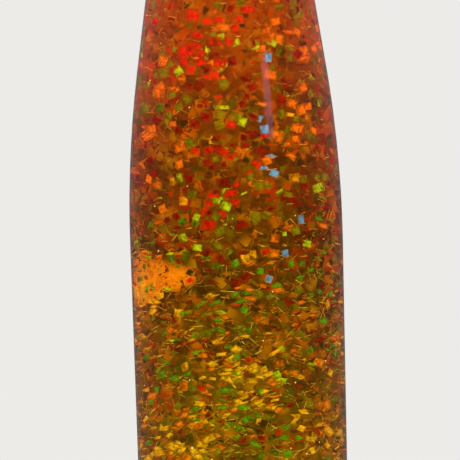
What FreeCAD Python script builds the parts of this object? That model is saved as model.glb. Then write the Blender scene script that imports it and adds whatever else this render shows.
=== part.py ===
import FreeCAD, Part
import math
import os

import Sketcher

# Glitter lamp: a liquid filled glass bottle on a spun metal base with a bulb in it, under a spun metal cap.
# Lengths are in millimetres and angles in degrees. +Z is up, and the lamp stands on z = 0.
# The cable comes out at the back, towards +Y.

SIZES = {
    # rubber feet and bottom plate
    "feet_count": 4,
    "foot_radius": 6.0,
    "foot_height": 4.0,
    "foot_draft": 0.9,
    "foot_round": 0.8,
    "foot_inset": 8.8,
    "plate_thickness": 1.2,
    "plate_gap": 0.4,
    "plate_vent_count": 8,
    "plate_vent_radius": 3.0,
    "plate_vent_circle": 25.0,
    # spun shell of the base
    "base_radius": 54.0,
    "base_lift": 2.0,
    "base_height": 112.0,
    "base_wall": 1.2,
    "band_height": 16.0,
    "band_round": 4.0,
    "waist_radius": 31.0,
    "waist_height": 70.0,
    "waist_round": 35.0,
    "collar_radius": 41.4,
    "collar_height": 9.0,
    "collar_round": 12.0,
    "bead_radius": 1.2,
    "bead_round": 1.08,
    "base_vent_count": 16,
    "base_vent_radius": 2.0,
    "base_vent_height": 50.0,
    # lugs and screws that hold the plate
    "lug_count": 3,
    "lug_angle": 12.0,
    "lug_thickness": 1.5,
    "lug_height": 9.0,
    "lug_reach": 11.0,
    "lug_round": 0.75,
    "screw_radius": 1.5,
    "screw_length": 6.0,
    "screw_head_radius": 2.8,
    "screw_head_height": 1.8,
    "screw_head_round": 0.9,
    "screw_slot_width": 0.75,
    "screw_slot_depth": 0.9,
    "screw_inset": 6.8,
    "screw_play": 0.1,
    # ring that the bottle sits in
    "seat_rise": 4.5,
    "seat_height": 6.0,
    "seat_gap": 0.3,
    # glass bottle: its rises count up from its underside, its drops down from its top
    "bottle_sink": 22.0,
    "bottle_height": 276.0,
    "glass_wall": 2.2,
    "glass_floor": 4.0,
    "punt_radius": 22.0,
    "punt_rise": 3.0,
    "heel_room": 3.1,
    "heel_round": 6.0,
    "collar_gap": 1.0,
    "waistline_rise": 16.0,
    "waistline_round": 25.0,
    "belly_swell": 0.96,
    "belly_share": 0.5025,
    "belly_round": 426.0,
    "shoulder_radius": 23.66,
    "shoulder_drop": 24.0,
    "shoulder_round": 10.0,
    "neck_radius": 11.5,
    "neck_drop": 10.0,
    "neck_round": 3.0,
    "neck_wall": 3.5,
    "lip_step": 1.55,
    "lip_slant": 0.775,
    "lip_height": 5.0,
    "lip_round": 1.5,
    # liquid and flakes
    "liquid_drop": 29.0,
    "flake_count": 180,
    "flake_side": 3.2,
    "flake_thickness": 0.2,
    "flake_margin": 3.0,
    # crown cap
    "liner_thickness": 0.6,
    "crown_wall": 0.4,
    "crown_flare": 0.9,
    "crown_height": 6.0,
    "crown_skirt": 2.1,
    "crown_round": 0.8,
    "crown_gap": 0.1,
    # spun cap, its rim counted down from the top of the glass
    "cap_drop": 32.0,
    "cap_height": 68.0,
    "cap_wall": 1.0,
    "cap_rim_gap": 1.775,
    "cap_top_radius": 14.4,
    "cap_edge_round": 4.0,
    "cap_bead_radius": 1.0,
    "cap_bead_round": 0.9,
    "cap_ring_rise": 1.5,
    "cap_ring_height": 5.0,
    # lampholder and its bracket
    "bracket_height": 4.8,
    "bracket_width": 16.0,
    "bracket_length": 28.0,
    "bracket_thickness": 1.2,
    "bracket_foot": 8.0,
    "rivet_radius": 1.5,
    "rivet_head_radius": 2.6,
    "rivet_head_height": 0.9,
    "rivet_head_round": 0.54,
    "nipple_radius": 4.9,
    "nipple_bore": 3.6,
    "nipple_rise": 3.0,
    "nut_radius": 7.0,
    "nut_height": 2.6,
    "nipple_play": 0.1,
    "holder_radius": 14.0,
    "holder_height": 31.0,
    "holder_wall": 1.8,
    "holder_floor": 1.6,
    "holder_round": 0.9,
    "holder_mouth": 9.6,
    "holder_mouth_round": 0.54,
    "window_width": 7.0,
    "window_height": 7.0,
    "core_gap": 0.4,
    "core_height": 8.0,
    "sleeve_radius": 7.25,
    "sleeve_flange": 2.38,
    "sleeve_wall": 0.4,
    "sleeve_height": 18.5,
    "terminal_size": 5.0,
    "terminal_screw_radius": 1.3,
    "terminal_screw_length": 4.0,
    "contact_width": 5.0,
    "contact_depth": 2.4,
    "contact_thickness": 0.5,
    "post_width": 1.8,
    "post_depth": 1.2,
    "post_length": 5.0,
    "post_play": 0.25,
    # bulb, its heights counted up from its contact tip
    "bulb_rise": 10.6,
    "bulb_gap": 4.4,
    "bulb_radius": 19.5,
    "bulb_wall": 0.8,
    "bulb_face_height": 15.0,
    "bulb_face_round": 7.0,
    "bulb_cheek_round": 8.0,
    "bulb_neck_play": 0.15,
    "bulb_neck_length": 5.0,
    "thread_play": 0.3,
    "cap_shell_wall": 0.3,
    "cap_shell_start": 4.5,
    "cap_shell_end": 23.0,
    "tip_radius": 2.4,
    "tip_height": 1.2,
    "tip_round": 0.48,
    "insulator_radius": 5.6,
    "insulator_ledge": 0.48,
    "stem_radius": 4.6,
    "stem_wall": 0.8,
    "stem_start": 18.0,
    "stem_flare": 3.2,
    "stem_round": 1.6,
    "stem_end": 36.0,
    "pinch_radius": 1.8,
    "pinch_height": 3.6,
    "pinch_depth": 5.4,
    "pinch_round": 0.9,
    "wire_radius": 0.3,
    "wire_root": 0.55,
    "wire_start": 2.0,
    "wire_spread": 6.5,
    "wire_straight": 4.0,
    "wire_end": 46.0,
    "filament_radius": 0.35,
    # switch in the band of the shell
    "switch_angle": 35.0,
    "switch_clearance": 0.5,
    "bezel_width": 18.0,
    "bezel_height": 11.4,
    "bezel_thickness": 2.4,
    "switch_width": 14.4,
    "switch_body_height": 9.0,
    "switch_depth": 12.0,
    "switch_play": 0.2,
    "pocket_width": 12.4,
    "pocket_height": 6.6,
    "pocket_depth": 6.2,
    "rocker_side_play": 0.8,
    "rocker_play": 0.2,
    "rocker_depth": 2.6,
    "rocker_root": 1.89,
    "rocker_round": 0.4,
    "rocker_hollow": 0.78,
    "rocker_tilt": 9.0,
    "rocker_pivot_depth": 1.4,
    "rocker_rise": 1.9,
    "pin_radius": 0.9,
    "pin_length": 0.6,
    "pin_play": 0.05,
    "tab_width": 4.8,
    "tab_length": 7.0,
    "tab_thickness": 0.8,
    "tab_spread": 4.0,
    # lead from the switch to the lampholder
    "lead_radius": 1.0,
    "lead_run": 10.0,
    "lead_exit": 6.0,
    # cable grommet
    "grommet_clearance": 0.3,
    "grommet_bore": 3.1,
    "grommet_hub": 4.4,
    "grommet_flange": 5.4,
    "grommet_flange_thickness": 2.0,
    "grommet_round": 0.6,
    "grommet_lip_round": 0.8,
    "grommet_play": 0.1,
    "grommet_seat": 0.5,
}

doc = FreeCAD.newDocument("GlitterLamp")
sheet = doc.addObject("Spreadsheet::Sheet", "Sizes")
for row, (word, amount) in enumerate(SIZES.items(), start=1):
    sheet.set(f"A{row}", word)
    sheet.set(f"B{row}", str(amount))
    sheet.setAlias(f"B{row}", word)
doc.recompute()


class Size:
    """A number, with the sheet formula that it comes from."""

    def __init__(self, value, formula):
        self.value = value
        self.formula = formula

    def __add__(self, other):
        return Size(self.value + number(other), f"({self.formula} + {text(other)})")

    def __sub__(self, other):
        return Size(self.value - number(other), f"({self.formula} - {text(other)})")

    def __mul__(self, other):
        return Size(self.value * number(other), f"({self.formula} * {text(other)})")

    def __truediv__(self, other):
        return Size(self.value / number(other), f"({self.formula} / {text(other)})")

    def __neg__(self):
        return Size(-self.value, f"(-1 * {self.formula})")


def number(value):
    return value.value if isinstance(value, Size) else float(value)


def text(value):
    return value.formula if isinstance(value, Size) else f"{float(value):.6f}"


def size(word):
    return Size(float(SIZES[word]), f"Sizes.{word}")


def count(word):
    return int(SIZES[word])


def bind(thing, name, value):
    thing.setExpression(name, text(value))


# An outline is a closed run of corners, each (across, up) or (across, up, round).
def pin_point(sketch, item, end, across, up):
    if number(across) == 0 and not isinstance(across, Size):
        sketch.addConstraint(Sketcher.Constraint("PointOnObject", item, end, -2))
    else:
        made = Sketcher.Constraint("DistanceX", -1, 1, item, end, number(across))
        bind(sketch, f"Constraints[{sketch.addConstraint(made)}]", across)
    if number(up) == 0 and not isinstance(up, Size):
        sketch.addConstraint(Sketcher.Constraint("PointOnObject", item, end, -1))
    else:
        made = Sketcher.Constraint("DistanceY", -1, 1, item, end, number(up))
        bind(sketch, f"Constraints[{sketch.addConstraint(made)}]", up)


def outline(body, name, role, corners):
    sketch = body.newObject("Sketcher::SketchObject", name)
    plane = [item for item in body.Origin.OriginFeatures if item.Role == role][0]
    sketch.AttachmentSupport = [(plane, "")]
    sketch.MapMode = "FlatFace"
    total = len(corners)
    spots = [FreeCAD.Vector(number(corner[0]), number(corner[1]), 0) for corner in corners]
    arrive, leave = list(spots), list(spots)
    for index, corner in enumerate(corners):
        if len(corner) == 3:
            back = (spots[index - 1] - spots[index]).normalize()
            onward = (spots[(index + 1) % total] - spots[index]).normalize()
            reach = number(corner[2]) / math.tan(back.getAngle(onward) / 2)
            arrive[index] = spots[index] + back * reach
            leave[index] = spots[index] + onward * reach
    for index in range(total):
        sketch.addGeometry(Part.LineSegment(leave[index], arrive[(index + 1) % total]), False)
    for index, corner in enumerate(corners):
        before, after = (index - 1) % total, index
        if len(corner) == 2:
            sketch.addConstraint(Sketcher.Constraint("Coincident", before, 2, after, 1))
            pin_point(sketch, after, 1, corner[0], corner[1])
            continue
        back = (spots[index - 1] - spots[index]).normalize()
        onward = (spots[(index + 1) % total] - spots[index]).normalize()
        half = back.getAngle(onward) / 2
        middle = spots[index] + (back + onward).normalize() * (number(corner[2]) / math.sin(half))
        first, last = arrive[index] - middle, leave[index] - middle
        left_turn = (first.cross(last)).z > 0
        begin, finish = (first, last) if left_turn else (last, first)
        start_angle = math.atan2(begin.y, begin.x)
        stop_angle = math.atan2(finish.y, finish.x)
        circle = Part.Circle(middle, FreeCAD.Vector(0, 0, 1), number(corner[2]))
        arc = sketch.addGeometry(Part.ArcOfCircle(circle, start_angle, stop_angle), False)
        arrive_end, leave_end = (1, 2) if left_turn else (2, 1)
        sketch.addConstraint(Sketcher.Constraint("Tangent", before, 2, arc, arrive_end))
        sketch.addConstraint(Sketcher.Constraint("Tangent", arc, leave_end, after, 1))
        bend = Sketcher.Constraint("Radius", arc, number(corner[2]))
        bind(sketch, f"Constraints[{sketch.addConstraint(bend)}]", corner[2])
        corner_point = sketch.addGeometry(Part.Point(spots[index]), True)
        pin_point(sketch, corner_point, 1, corner[0], corner[1])
        sketch.addConstraint(Sketcher.Constraint("PointOnObject", corner_point, 1, before))
        sketch.addConstraint(Sketcher.Constraint("PointOnObject", corner_point, 1, after))
    return sketch


# Ways of making a piece
def lathe(label, corners, inside=None, sweep=360):
    body = doc.addObject("PartDesign::Body", label)
    sketch = outline(body, f"{label}_outline", "XZ_Plane", corners)
    turned = body.newObject("PartDesign::Revolution", f"{label}_turned")
    turned.Profile = sketch
    turned.ReferenceAxis = (sketch, ["V_Axis"])
    if isinstance(sweep, Size):
        turned.Midplane = True
        bind(turned, "Angle", sweep)
    else:
        turned.Angle = sweep
    if inside:
        doc.recompute()
        hollow = outline(body, f"{label}_hollow", "XZ_Plane", inside)
        bored = body.newObject("PartDesign::Groove", f"{label}_bored")
        bored.Profile = hollow
        bored.ReferenceAxis = (hollow, ["V_Axis"])
        bored.Angle = 360
    return body


def slab(label, corners, thickness, start=0):
    body = doc.addObject("PartDesign::Body", label)
    sketch = outline(body, f"{label}_outline", "XY_Plane", corners)
    padded = body.newObject("PartDesign::Pad", f"{label}_pad")
    padded.Profile = sketch
    bind(padded, "Length", thickness)
    place(body, 0, 0, start)
    return body


def place(thing, x, y, z, axis=(0, 0, 1), angle=0):
    turn = FreeCAD.Rotation(FreeCAD.Vector(*axis), number(angle))
    thing.Placement = FreeCAD.Placement(FreeCAD.Vector(number(x), number(y), number(z)), turn)
    for way, value in (("x", x), ("y", y), ("z", z)):
        if isinstance(value, Size):
            bind(thing, f"Placement.Base.{way}", value)
    if isinstance(angle, Size):
        bind(thing, "Placement.Rotation.Angle", angle)
    return thing


def block(label, length, width, height, x, y, z):
    """A box whose middle is at x, y and whose underside is at z."""
    made = doc.addObject("Part::Box", label)
    bind(made, "Length", length)
    bind(made, "Width", width)
    bind(made, "Height", height)
    return place(made, x - length / 2, y - width / 2, z)


def rod(label, radius, height, x, y, z, axis=(0, 0, 1), angle=0):
    made = doc.addObject("Part::Cylinder", label)
    bind(made, "Radius", radius)
    bind(made, "Height", height)
    return place(made, x, y, z, axis, angle)


def group(label, pieces):
    made = doc.addObject("Part::Compound", label)
    made.Links = pieces
    return made


def cut(label, base, tools):
    made = doc.addObject("Part::Cut", label)
    made.Base = base
    made.Tool = group(f"{label}_tools", tools) if len(tools) > 1 else tools[0]
    return made


def fuse(label, pieces):
    made = doc.addObject("Part::MultiFuse", label)
    made.Shapes = pieces
    made.Refine = True
    return made


def around(label, piece, total, radius, first=0.0):
    """Copies of a piece on a circle about the lamp's axis, each turned to face outwards."""
    copies = []
    for index in range(total):
        angle = first + 360.0 * index / total
        link = doc.addObject("App::Link", f"{label}_{index + 1}")
        link.LinkedObject = piece
        link.LinkTransform = True
        turn = FreeCAD.Rotation(FreeCAD.Vector(0, 0, 1), angle)
        link.Placement = FreeCAD.Placement(FreeCAD.Vector(0, 0, 0), turn)
        bind(link, "Placement.Base.x", radius * math.cos(math.radians(angle)))
        bind(link, "Placement.Base.y", radius * math.sin(math.radians(angle)))
        copies.append(link)
    return copies


NODES = []


def node(piece):
    NODES.append(piece)
    return piece


# Heights that several pieces share
plate_bottom = size("foot_height")
plate_top = plate_bottom + size("plate_thickness")
holder_bottom = plate_top + size("bracket_height")
bulb_bottom = holder_bottom + size("bulb_rise")
glass_bottom = size("base_height") - size("bottle_sink")
glass_top = glass_bottom + size("bottle_height")
bulb_top = glass_bottom - size("bulb_gap")
switch_middle = plate_top + size("switch_body_height") / 2 + size("switch_clearance")
grommet_middle = plate_top + size("grommet_flange") + size("grommet_clearance")
NOTHING = Size(0.0, "0")

# Radii that several pieces share
shell_inside = size("base_radius") - size("base_wall")
foot_circle = shell_inside - size("foot_inset")
screw_circle = shell_inside - size("screw_inset")
core_radius = size("holder_radius") - size("holder_wall") - size("core_gap")
cap_shell_radius = size("sleeve_radius") - size("thread_play")

# A cutter is this many walls long, and starts one wall before the wall that it goes through
CUTTER_WALLS = 3


# Spun shell of the base
def base_profile(wall):
    band_top = size("base_lift") + size("band_height")
    collar_bottom = size("base_height") - size("collar_height")
    return [
        (size("base_radius") - wall, size("base_lift")),
        (size("base_radius") - wall, band_top, size("band_round")),
        (size("waist_radius") - wall, size("waist_height"), size("waist_round") + wall),
        (size("collar_radius") - wall, collar_bottom, size("collar_round") - wall),
    ]


def flare_radius(height, wall):
    """Radius of the shell's upper cone at a height between the waist and the collar."""
    collar_bottom = size("base_height") - size("collar_height")
    slope = (size("collar_radius") - size("waist_radius")) / (collar_bottom - size("waist_height"))
    return size("waist_radius") - wall + (height - size("waist_height")) * slope


def make_base_shell():
    top = size("base_height")
    bead = size("bead_radius")
    outer = [(0, size("base_lift"))] + base_profile(NOTHING) + [
        (size("collar_radius"), top - bead * 2),
        (size("collar_radius") + bead, top - bead * 2, size("bead_round")),
        (size("collar_radius") + bead, top, size("bead_round")),
        (0, top),
    ]
    inner = [(0, size("base_lift"))] + base_profile(size("base_wall")) + [
        (size("collar_radius") - size("base_wall"), top),
        (0, top),
    ]
    turned = lathe("base_turned", outer, inner)
    radius = size("base_radius")
    entry = rod("entry_hole", size("grommet_hub") + size("grommet_play"), size("base_wall") * CUTTER_WALLS,
                0, shell_inside - size("base_wall"), grommet_middle, (1, 0, 0), -90)
    window = block("switch_window", size("switch_depth"), size("switch_width") + size("switch_play") * 2,
                   size("switch_body_height") + size("switch_play") * 2, radius, NOTHING,
                   switch_middle - size("switch_body_height") / 2 - size("switch_play"))
    window_turned = group("switch_window_turned", [window])
    place(window_turned, 0, 0, 0, (0, 0, 1), size("switch_angle"))
    vent = rod("base_vent", size("base_vent_radius"), radius, 0, 0, size("base_vent_height"), (0, 1, 0), 90)
    vents = around("base_vent_copy", vent, count("base_vent_count"), NOTHING)
    node(cut("base_shell", turned, [entry, window_turned] + vents))


# Bottom plate, its feet, the lugs that it is screwed to and the screws
def make_bottom():
    thick = size("plate_thickness")
    disc = rod("plate_disc", shell_inside - size("plate_gap"), thick, 0, 0, plate_bottom)
    long, start = thick * CUTTER_WALLS, plate_bottom - thick
    vent = rod("plate_vent", size("plate_vent_radius"), long, 0, 0, start)
    screw_hole = rod("plate_screw_hole", size("screw_radius") + size("screw_play"), long, 0, 0, start)
    rivet_hole = rod("plate_rivet_hole", size("rivet_radius"), long, 0, 0, start)
    first_vent = 180.0 / count("plate_vent_count")
    holes = around("plate_vent_copy", vent, count("plate_vent_count"), size("plate_vent_circle"), first_vent)
    holes += around("plate_screw_hole_copy", screw_hole, count("lug_count"), screw_circle)
    holes += around("plate_rivet_hole_copy", rivet_hole, 2, rivet_place())
    node(cut("bottom_plate", disc, holes))

    foot = lathe("foot", [
        (0, 0),
        (size("foot_radius") - size("foot_draft"), 0, size("foot_round")),
        (size("foot_radius"), size("foot_height")),
        (0, size("foot_height")),
    ])
    first_foot = 180.0 / count("feet_count")
    node(group("feet", around("foot_copy", foot, count("feet_count"), foot_circle, first_foot)))

    lug_wall = size("lug_thickness")
    lug = lathe("lug_turned", [
        (shell_inside - size("lug_reach"), plate_top),
        (shell_inside, plate_top),
        (shell_inside, plate_top + size("lug_height")),
        (shell_inside - lug_wall, plate_top + size("lug_height")),
        (shell_inside - lug_wall, plate_top + lug_wall, size("lug_round")),
        (shell_inside - size("lug_reach"), plate_top + lug_wall),
    ], sweep=size("lug_angle"))
    lug_hole = rod("lug_hole", size("screw_radius"), lug_wall * CUTTER_WALLS,
                   screw_circle, 0, plate_top - lug_wall)
    drilled = cut("lug", lug, [lug_hole])
    node(group("plate_lugs", around("lug_copy", drilled, count("lug_count"), NOTHING)))

    head = size("screw_head_height")
    screw = lathe("plate_screw", [
        (0, plate_bottom - head),
        (size("screw_head_radius"), plate_bottom - head, size("screw_head_round")),
        (size("screw_head_radius"), plate_bottom),
        (size("screw_radius"), plate_bottom),
        (size("screw_radius"), plate_bottom + size("screw_length")),
        (0, plate_bottom + size("screw_length")),
    ])
    slot = block("screw_slot", size("screw_head_radius") * CUTTER_WALLS, size("screw_slot_width"),
                 size("screw_slot_depth"), NOTHING, NOTHING, plate_bottom - head)
    slotted = cut("plate_screw_slotted", screw, [slot])
    node(group("plate_screws", around("plate_screw_copy", slotted, count("lug_count"), screw_circle)))


# Bracket, rivets, nipple and nut under the lampholder
def rivet_place():
    return size("bracket_length") / 2 + size("bracket_foot") / 2


def make_bracket():
    thick = size("bracket_thickness")
    width = size("bracket_width")
    leg_place = size("bracket_length") / 2 - thick / 2
    pieces = [block("bracket_top", size("bracket_length"), width, thick,
                    NOTHING, NOTHING, holder_bottom - thick)]
    for side, name in ((1, "right"), (-1, "left")):
        pieces.append(block(f"bracket_leg_{name}", thick, width, size("bracket_height"),
                            leg_place * side, NOTHING, plate_top))
        pieces.append(block(f"bracket_foot_{name}", size("bracket_foot"), width, thick,
                            rivet_place() * side, NOTHING, plate_top))
    bent = fuse("bracket_bent", pieces)
    hole = rod("bracket_hole", size("nipple_radius") + size("nipple_play"), thick * CUTTER_WALLS,
               0, 0, holder_bottom - thick * 2)
    rivet_hole = rod("bracket_rivet_hole", size("rivet_radius"), thick * CUTTER_WALLS, 0, 0, plate_top - thick)
    node(cut("holder_bracket", bent, [hole] + around("bracket_rivet_hole_copy", rivet_hole, 2, rivet_place())))

    head = size("rivet_head_height")
    rivet = lathe("rivet", [
        (0, plate_bottom - head),
        (size("rivet_head_radius"), plate_bottom - head, size("rivet_head_round")),
        (size("rivet_head_radius"), plate_bottom),
        (size("rivet_radius"), plate_bottom),
        (size("rivet_radius"), plate_top + thick),
        (size("rivet_head_radius"), plate_top + thick),
        (size("rivet_head_radius"), plate_top + thick + head, size("rivet_head_round")),
        (0, plate_top + thick + head),
    ])
    node(group("bracket_rivets", around("rivet_copy", rivet, 2, rivet_place())))

    nut_top = holder_bottom - thick
    node(lathe("holder_nipple", [
        (size("nipple_bore"), nut_top - size("nut_height") - size("nipple_play")),
        (size("nipple_radius"), nut_top - size("nut_height") - size("nipple_play")),
        (size("nipple_radius"), holder_bottom + size("nipple_rise")),
        (size("nipple_bore"), holder_bottom + size("nipple_rise")),
    ]))
    prism = doc.addObject("Part::Prism", "nut_blank")
    prism.Polygon = 6
    bind(prism, "Circumradius", size("nut_radius"))
    bind(prism, "Height", size("nut_height"))
    place(prism, 0, 0, nut_top - size("nut_height"))
    nut_bore = rod("nut_bore", size("nipple_radius"), size("nut_height") * CUTTER_WALLS,
                   0, 0, nut_top - size("nut_height") * 2)
    node(cut("holder_nut", prism, [nut_bore]))


# Lampholder: moulded body, core, brass screw sleeve, terminals and their screws, sprung centre contact
def sleeve_bottom():
    return holder_bottom + size("holder_floor") + size("core_height")


def make_holder():
    top = holder_bottom + size("holder_height")
    floor_top = holder_bottom + size("holder_floor")
    wall = size("holder_wall")
    radius = size("holder_radius")
    turned = lathe("holder_turned", [
        (size("nipple_radius"), holder_bottom),
        (radius, holder_bottom, size("holder_round")),
        (radius, top, size("holder_round")),
        (size("holder_mouth"), top, size("holder_mouth_round")),
        (size("holder_mouth"), top - wall),
        (radius - wall, top - wall * 2),
        (radius - wall, floor_top),
        (size("nipple_radius"), floor_top),
    ])
    windows = [block(f"holder_window_{name}", wall * CUTTER_WALLS, size("window_width"), size("window_height"),
                     (radius - wall / 2) * side, NOTHING, floor_top)
               for side, name in ((1, "right"), (-1, "left"))]
    node(cut("holder_body", turned, windows))

    nipple_room = size("nipple_radius") + size("nipple_play")
    core = lathe("core_turned", [
        (0, holder_bottom + size("nipple_rise") + size("nipple_play")),
        (nipple_room, holder_bottom + size("nipple_rise") + size("nipple_play")),
        (nipple_room, floor_top),
        (core_radius, floor_top),
        (core_radius, sleeve_bottom()),
        (0, sleeve_bottom()),
    ])
    slot = block("core_slot", size("post_width") + size("post_play") * 2,
                 size("post_depth") + size("post_play") * 2, size("post_length") + size("post_play"),
                 NOTHING, NOTHING, sleeve_bottom() - size("post_length") - size("post_play"))
    half = size("terminal_size")
    pockets = [block(f"core_pocket_{name}", half * 2, half, half, core_radius * side, NOTHING, floor_top)
               for side, name in ((1, "right"), (-1, "left"))]
    node(cut("holder_core", core, [slot] + pockets))

    inner = size("sleeve_radius")
    outer = inner + size("sleeve_wall")
    node(lathe("screw_sleeve", [
        (inner, sleeve_bottom()),
        (outer + size("sleeve_flange"), sleeve_bottom()),
        (outer + size("sleeve_flange"), sleeve_bottom() + size("sleeve_wall")),
        (outer, sleeve_bottom() + size("sleeve_wall")),
        (outer, sleeve_bottom() + size("sleeve_height")),
        (inner, sleeve_bottom() + size("sleeve_height")),
    ]))

    blocks, screws = [], []
    for side, name in ((1, "right"), (-1, "left")):
        middle = (core_radius - half / 2) * side
        blank = block(f"terminal_blank_{name}", half, half, half, middle, NOTHING, floor_top)
        thread = rod(f"terminal_thread_{name}", size("terminal_screw_radius"), half * 2,
                     middle, 0, floor_top - half / 2)
        blocks.append(cut(f"terminal_{name}", blank, [thread]))
        length = size("terminal_screw_length")
        screws.append(rod(f"terminal_screw_{name}", size("terminal_screw_radius"), length,
                          middle, 0, floor_top + half - length))
    node(group("holder_terminals", blocks))
    node(group("terminal_screws", screws))

    leaf = block("contact_leaf", size("contact_width"), size("contact_depth"), size("contact_thickness"),
                 NOTHING, NOTHING, bulb_bottom - size("contact_thickness"))
    post = block("contact_post", size("post_width"), size("post_depth"), size("post_length"),
                 NOTHING, NOTHING, bulb_bottom - size("post_length"))
    node(fuse("centre_contact", [leaf, post]))


# Bulb: reflector glass, screw cap, insulator, contact tip, stem, lead wires and filament
def bulb_neck_radius():
    return cap_shell_radius - size("cap_shell_wall") - size("bulb_neck_play")


def bulb_outline(wall):
    neck = bulb_neck_radius() - wall
    neck_top = bulb_bottom + size("cap_shell_end") + size("bulb_neck_length")
    return [
        (neck, bulb_bottom + size("cap_shell_start") + size("bulb_wall")),
        (neck, neck_top, size("bulb_cheek_round")),
        (size("bulb_radius") - wall, bulb_top - size("bulb_face_height"), size("bulb_cheek_round") - wall),
        (size("bulb_radius") - wall, bulb_top - wall, size("bulb_face_round") - wall),
        (0, bulb_top - wall),
    ]


def make_bulb():
    start = bulb_bottom + size("cap_shell_start") + size("bulb_wall")
    outer, inner = bulb_outline(NOTHING), bulb_outline(size("bulb_wall"))
    node(lathe("bulb_glass", [(0, start)] + outer, [(0, start)] + inner))
    shell_bottom = bulb_bottom + size("cap_shell_start")
    shell = cap_shell_radius
    inside = shell - size("cap_shell_wall")
    tip_top = bulb_bottom + size("tip_height")
    node(lathe("bulb_cap", [
        (size("insulator_radius"), shell_bottom),
        (shell, shell_bottom, size("cap_shell_wall")),
        (shell, bulb_bottom + size("cap_shell_end")),
        (inside, bulb_bottom + size("cap_shell_end")),
        (inside, shell_bottom + size("cap_shell_wall")),
        (size("insulator_radius"), shell_bottom + size("cap_shell_wall")),
    ]))
    node(lathe("bulb_insulator", [
        (0, tip_top),
        (size("tip_radius") + size("insulator_ledge"), tip_top),
        (size("insulator_radius"), shell_bottom),
        (size("insulator_radius"), shell_bottom + size("bulb_wall")),
        (0, shell_bottom + size("bulb_wall")),
    ]))
    node(lathe("bulb_contact", [
        (0, bulb_bottom),
        (size("tip_radius"), bulb_bottom, size("tip_round")),
        (size("tip_radius"), tip_top),
        (0, tip_top),
    ]))
    inner_neck = bulb_neck_radius() - size("bulb_wall")
    stem_bottom, stem_top = bulb_bottom + size("stem_start"), bulb_bottom + size("stem_end")
    node(lathe("bulb_stem", [
        (inner_neck - size("stem_wall"), stem_bottom),
        (inner_neck, stem_bottom),
        (size("stem_radius"), stem_bottom + size("stem_flare"), size("stem_round")),
        (size("pinch_radius"), stem_top - size("pinch_height"), size("stem_wall")),
        (size("pinch_radius"), stem_top, size("pinch_round")),
        (0, stem_top),
        (0, stem_top - size("pinch_depth")),
    ]))
    wires = []
    tip = bulb_bottom + size("wire_end")
    for side, name in ((1, "right"), (-1, "left")):
        wires.append(tube(f"lead_wire_{name}", [
            (size("wire_root") * side, NOTHING, stem_top),
            (size("wire_root") * side, NOTHING, stem_top + size("wire_start")),
            (size("wire_spread") * side, NOTHING, tip - size("wire_straight")),
            (size("wire_spread") * side, NOTHING, tip),
        ], size("wire_radius")))
    node(group("filament_wires", wires))
    coil = doc.addObject("Part::Torus", "filament")
    bind(coil, "Radius1", size("wire_spread"))
    bind(coil, "Radius2", size("filament_radius"))
    coil.Angle3 = 180
    turn = FreeCAD.Rotation(FreeCAD.Vector(1, 0, 0), 90)
    coil.Placement = FreeCAD.Placement(FreeCAD.Vector(0, 0, 0), turn)
    bind(coil, "Placement.Base.z", bulb_bottom + size("wire_end"))
    node(coil)


# A round tube along straight runs joined by tangent arcs, each of which takes this share of the shorter run
ARC_SHARE = 0.45


def tube(label, points, radius):
    spots = [FreeCAD.Vector(*(number(value) for value in point)) for point in points]
    edges, here = [], spots[0]
    for index in range(1, len(spots) - 1):
        back = spots[index - 1] - spots[index]
        onward = spots[index + 1] - spots[index]
        half_turn = (math.pi - back.getAngle(onward)) / 2
        reach = ARC_SHARE * min(back.Length, onward.Length)
        bend = reach / math.tan(half_turn)
        back.normalize()
        onward.normalize()
        first, last = spots[index] + back * reach, spots[index] + onward * reach
        inward = (back + onward).normalize()
        middle = spots[index] + inward * (bend / math.cos(half_turn) - bend)
        print(f"{label}: bend {index} has radius {bend:.1f}")
        edges.append(Part.LineSegment(here, first).toShape())
        edges.append(Part.Arc(first, middle, last).toShape())
        here = last
    edges.append(Part.LineSegment(here, spots[-1]).toShape())
    path = Part.Wire(edges)
    ring = Part.Circle(spots[0], spots[1] - spots[0], number(radius)).toShape()
    solid = path.makePipeShell([Part.Wire([ring])], True, False)
    made = doc.addObject("Part::Feature", label)
    made.Shape = solid
    return made


# Glass bottle, its seat ring, the liquid and the flakes
heel_radius = flare_radius(glass_bottom, size("base_wall")) - size("heel_room")
waistline_radius = size("collar_radius") - size("base_wall") - size("collar_gap")
belly_radius = waistline_radius + size("belly_swell")
belly_height = glass_bottom + size("bottle_height") * size("belly_share")
shoulder_height = glass_top - size("shoulder_drop")
liquid_top = glass_top - size("liquid_drop")


def cone_radius(height, wall):
    """Radius of the bottle's upper cone at a height between the belly and the shoulder."""
    slope = (belly_radius - size("shoulder_radius")) / (shoulder_height - belly_height)
    return size("shoulder_radius") - wall + (shoulder_height - height) * slope


def foot_cone_radius(height):
    """Radius of the bottle's lower cone at a height between its heel and its waistline."""
    slope = (waistline_radius - heel_radius) / size("waistline_rise")
    return heel_radius + (height - glass_bottom) * slope


def bottle_side(wall, floor):
    return [
        (heel_radius - wall, glass_bottom + floor, size("heel_round") - wall),
        (waistline_radius - wall, glass_bottom + size("waistline_rise"), size("waistline_round")),
        (belly_radius - wall, belly_height, size("belly_round") - wall),
    ]


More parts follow.
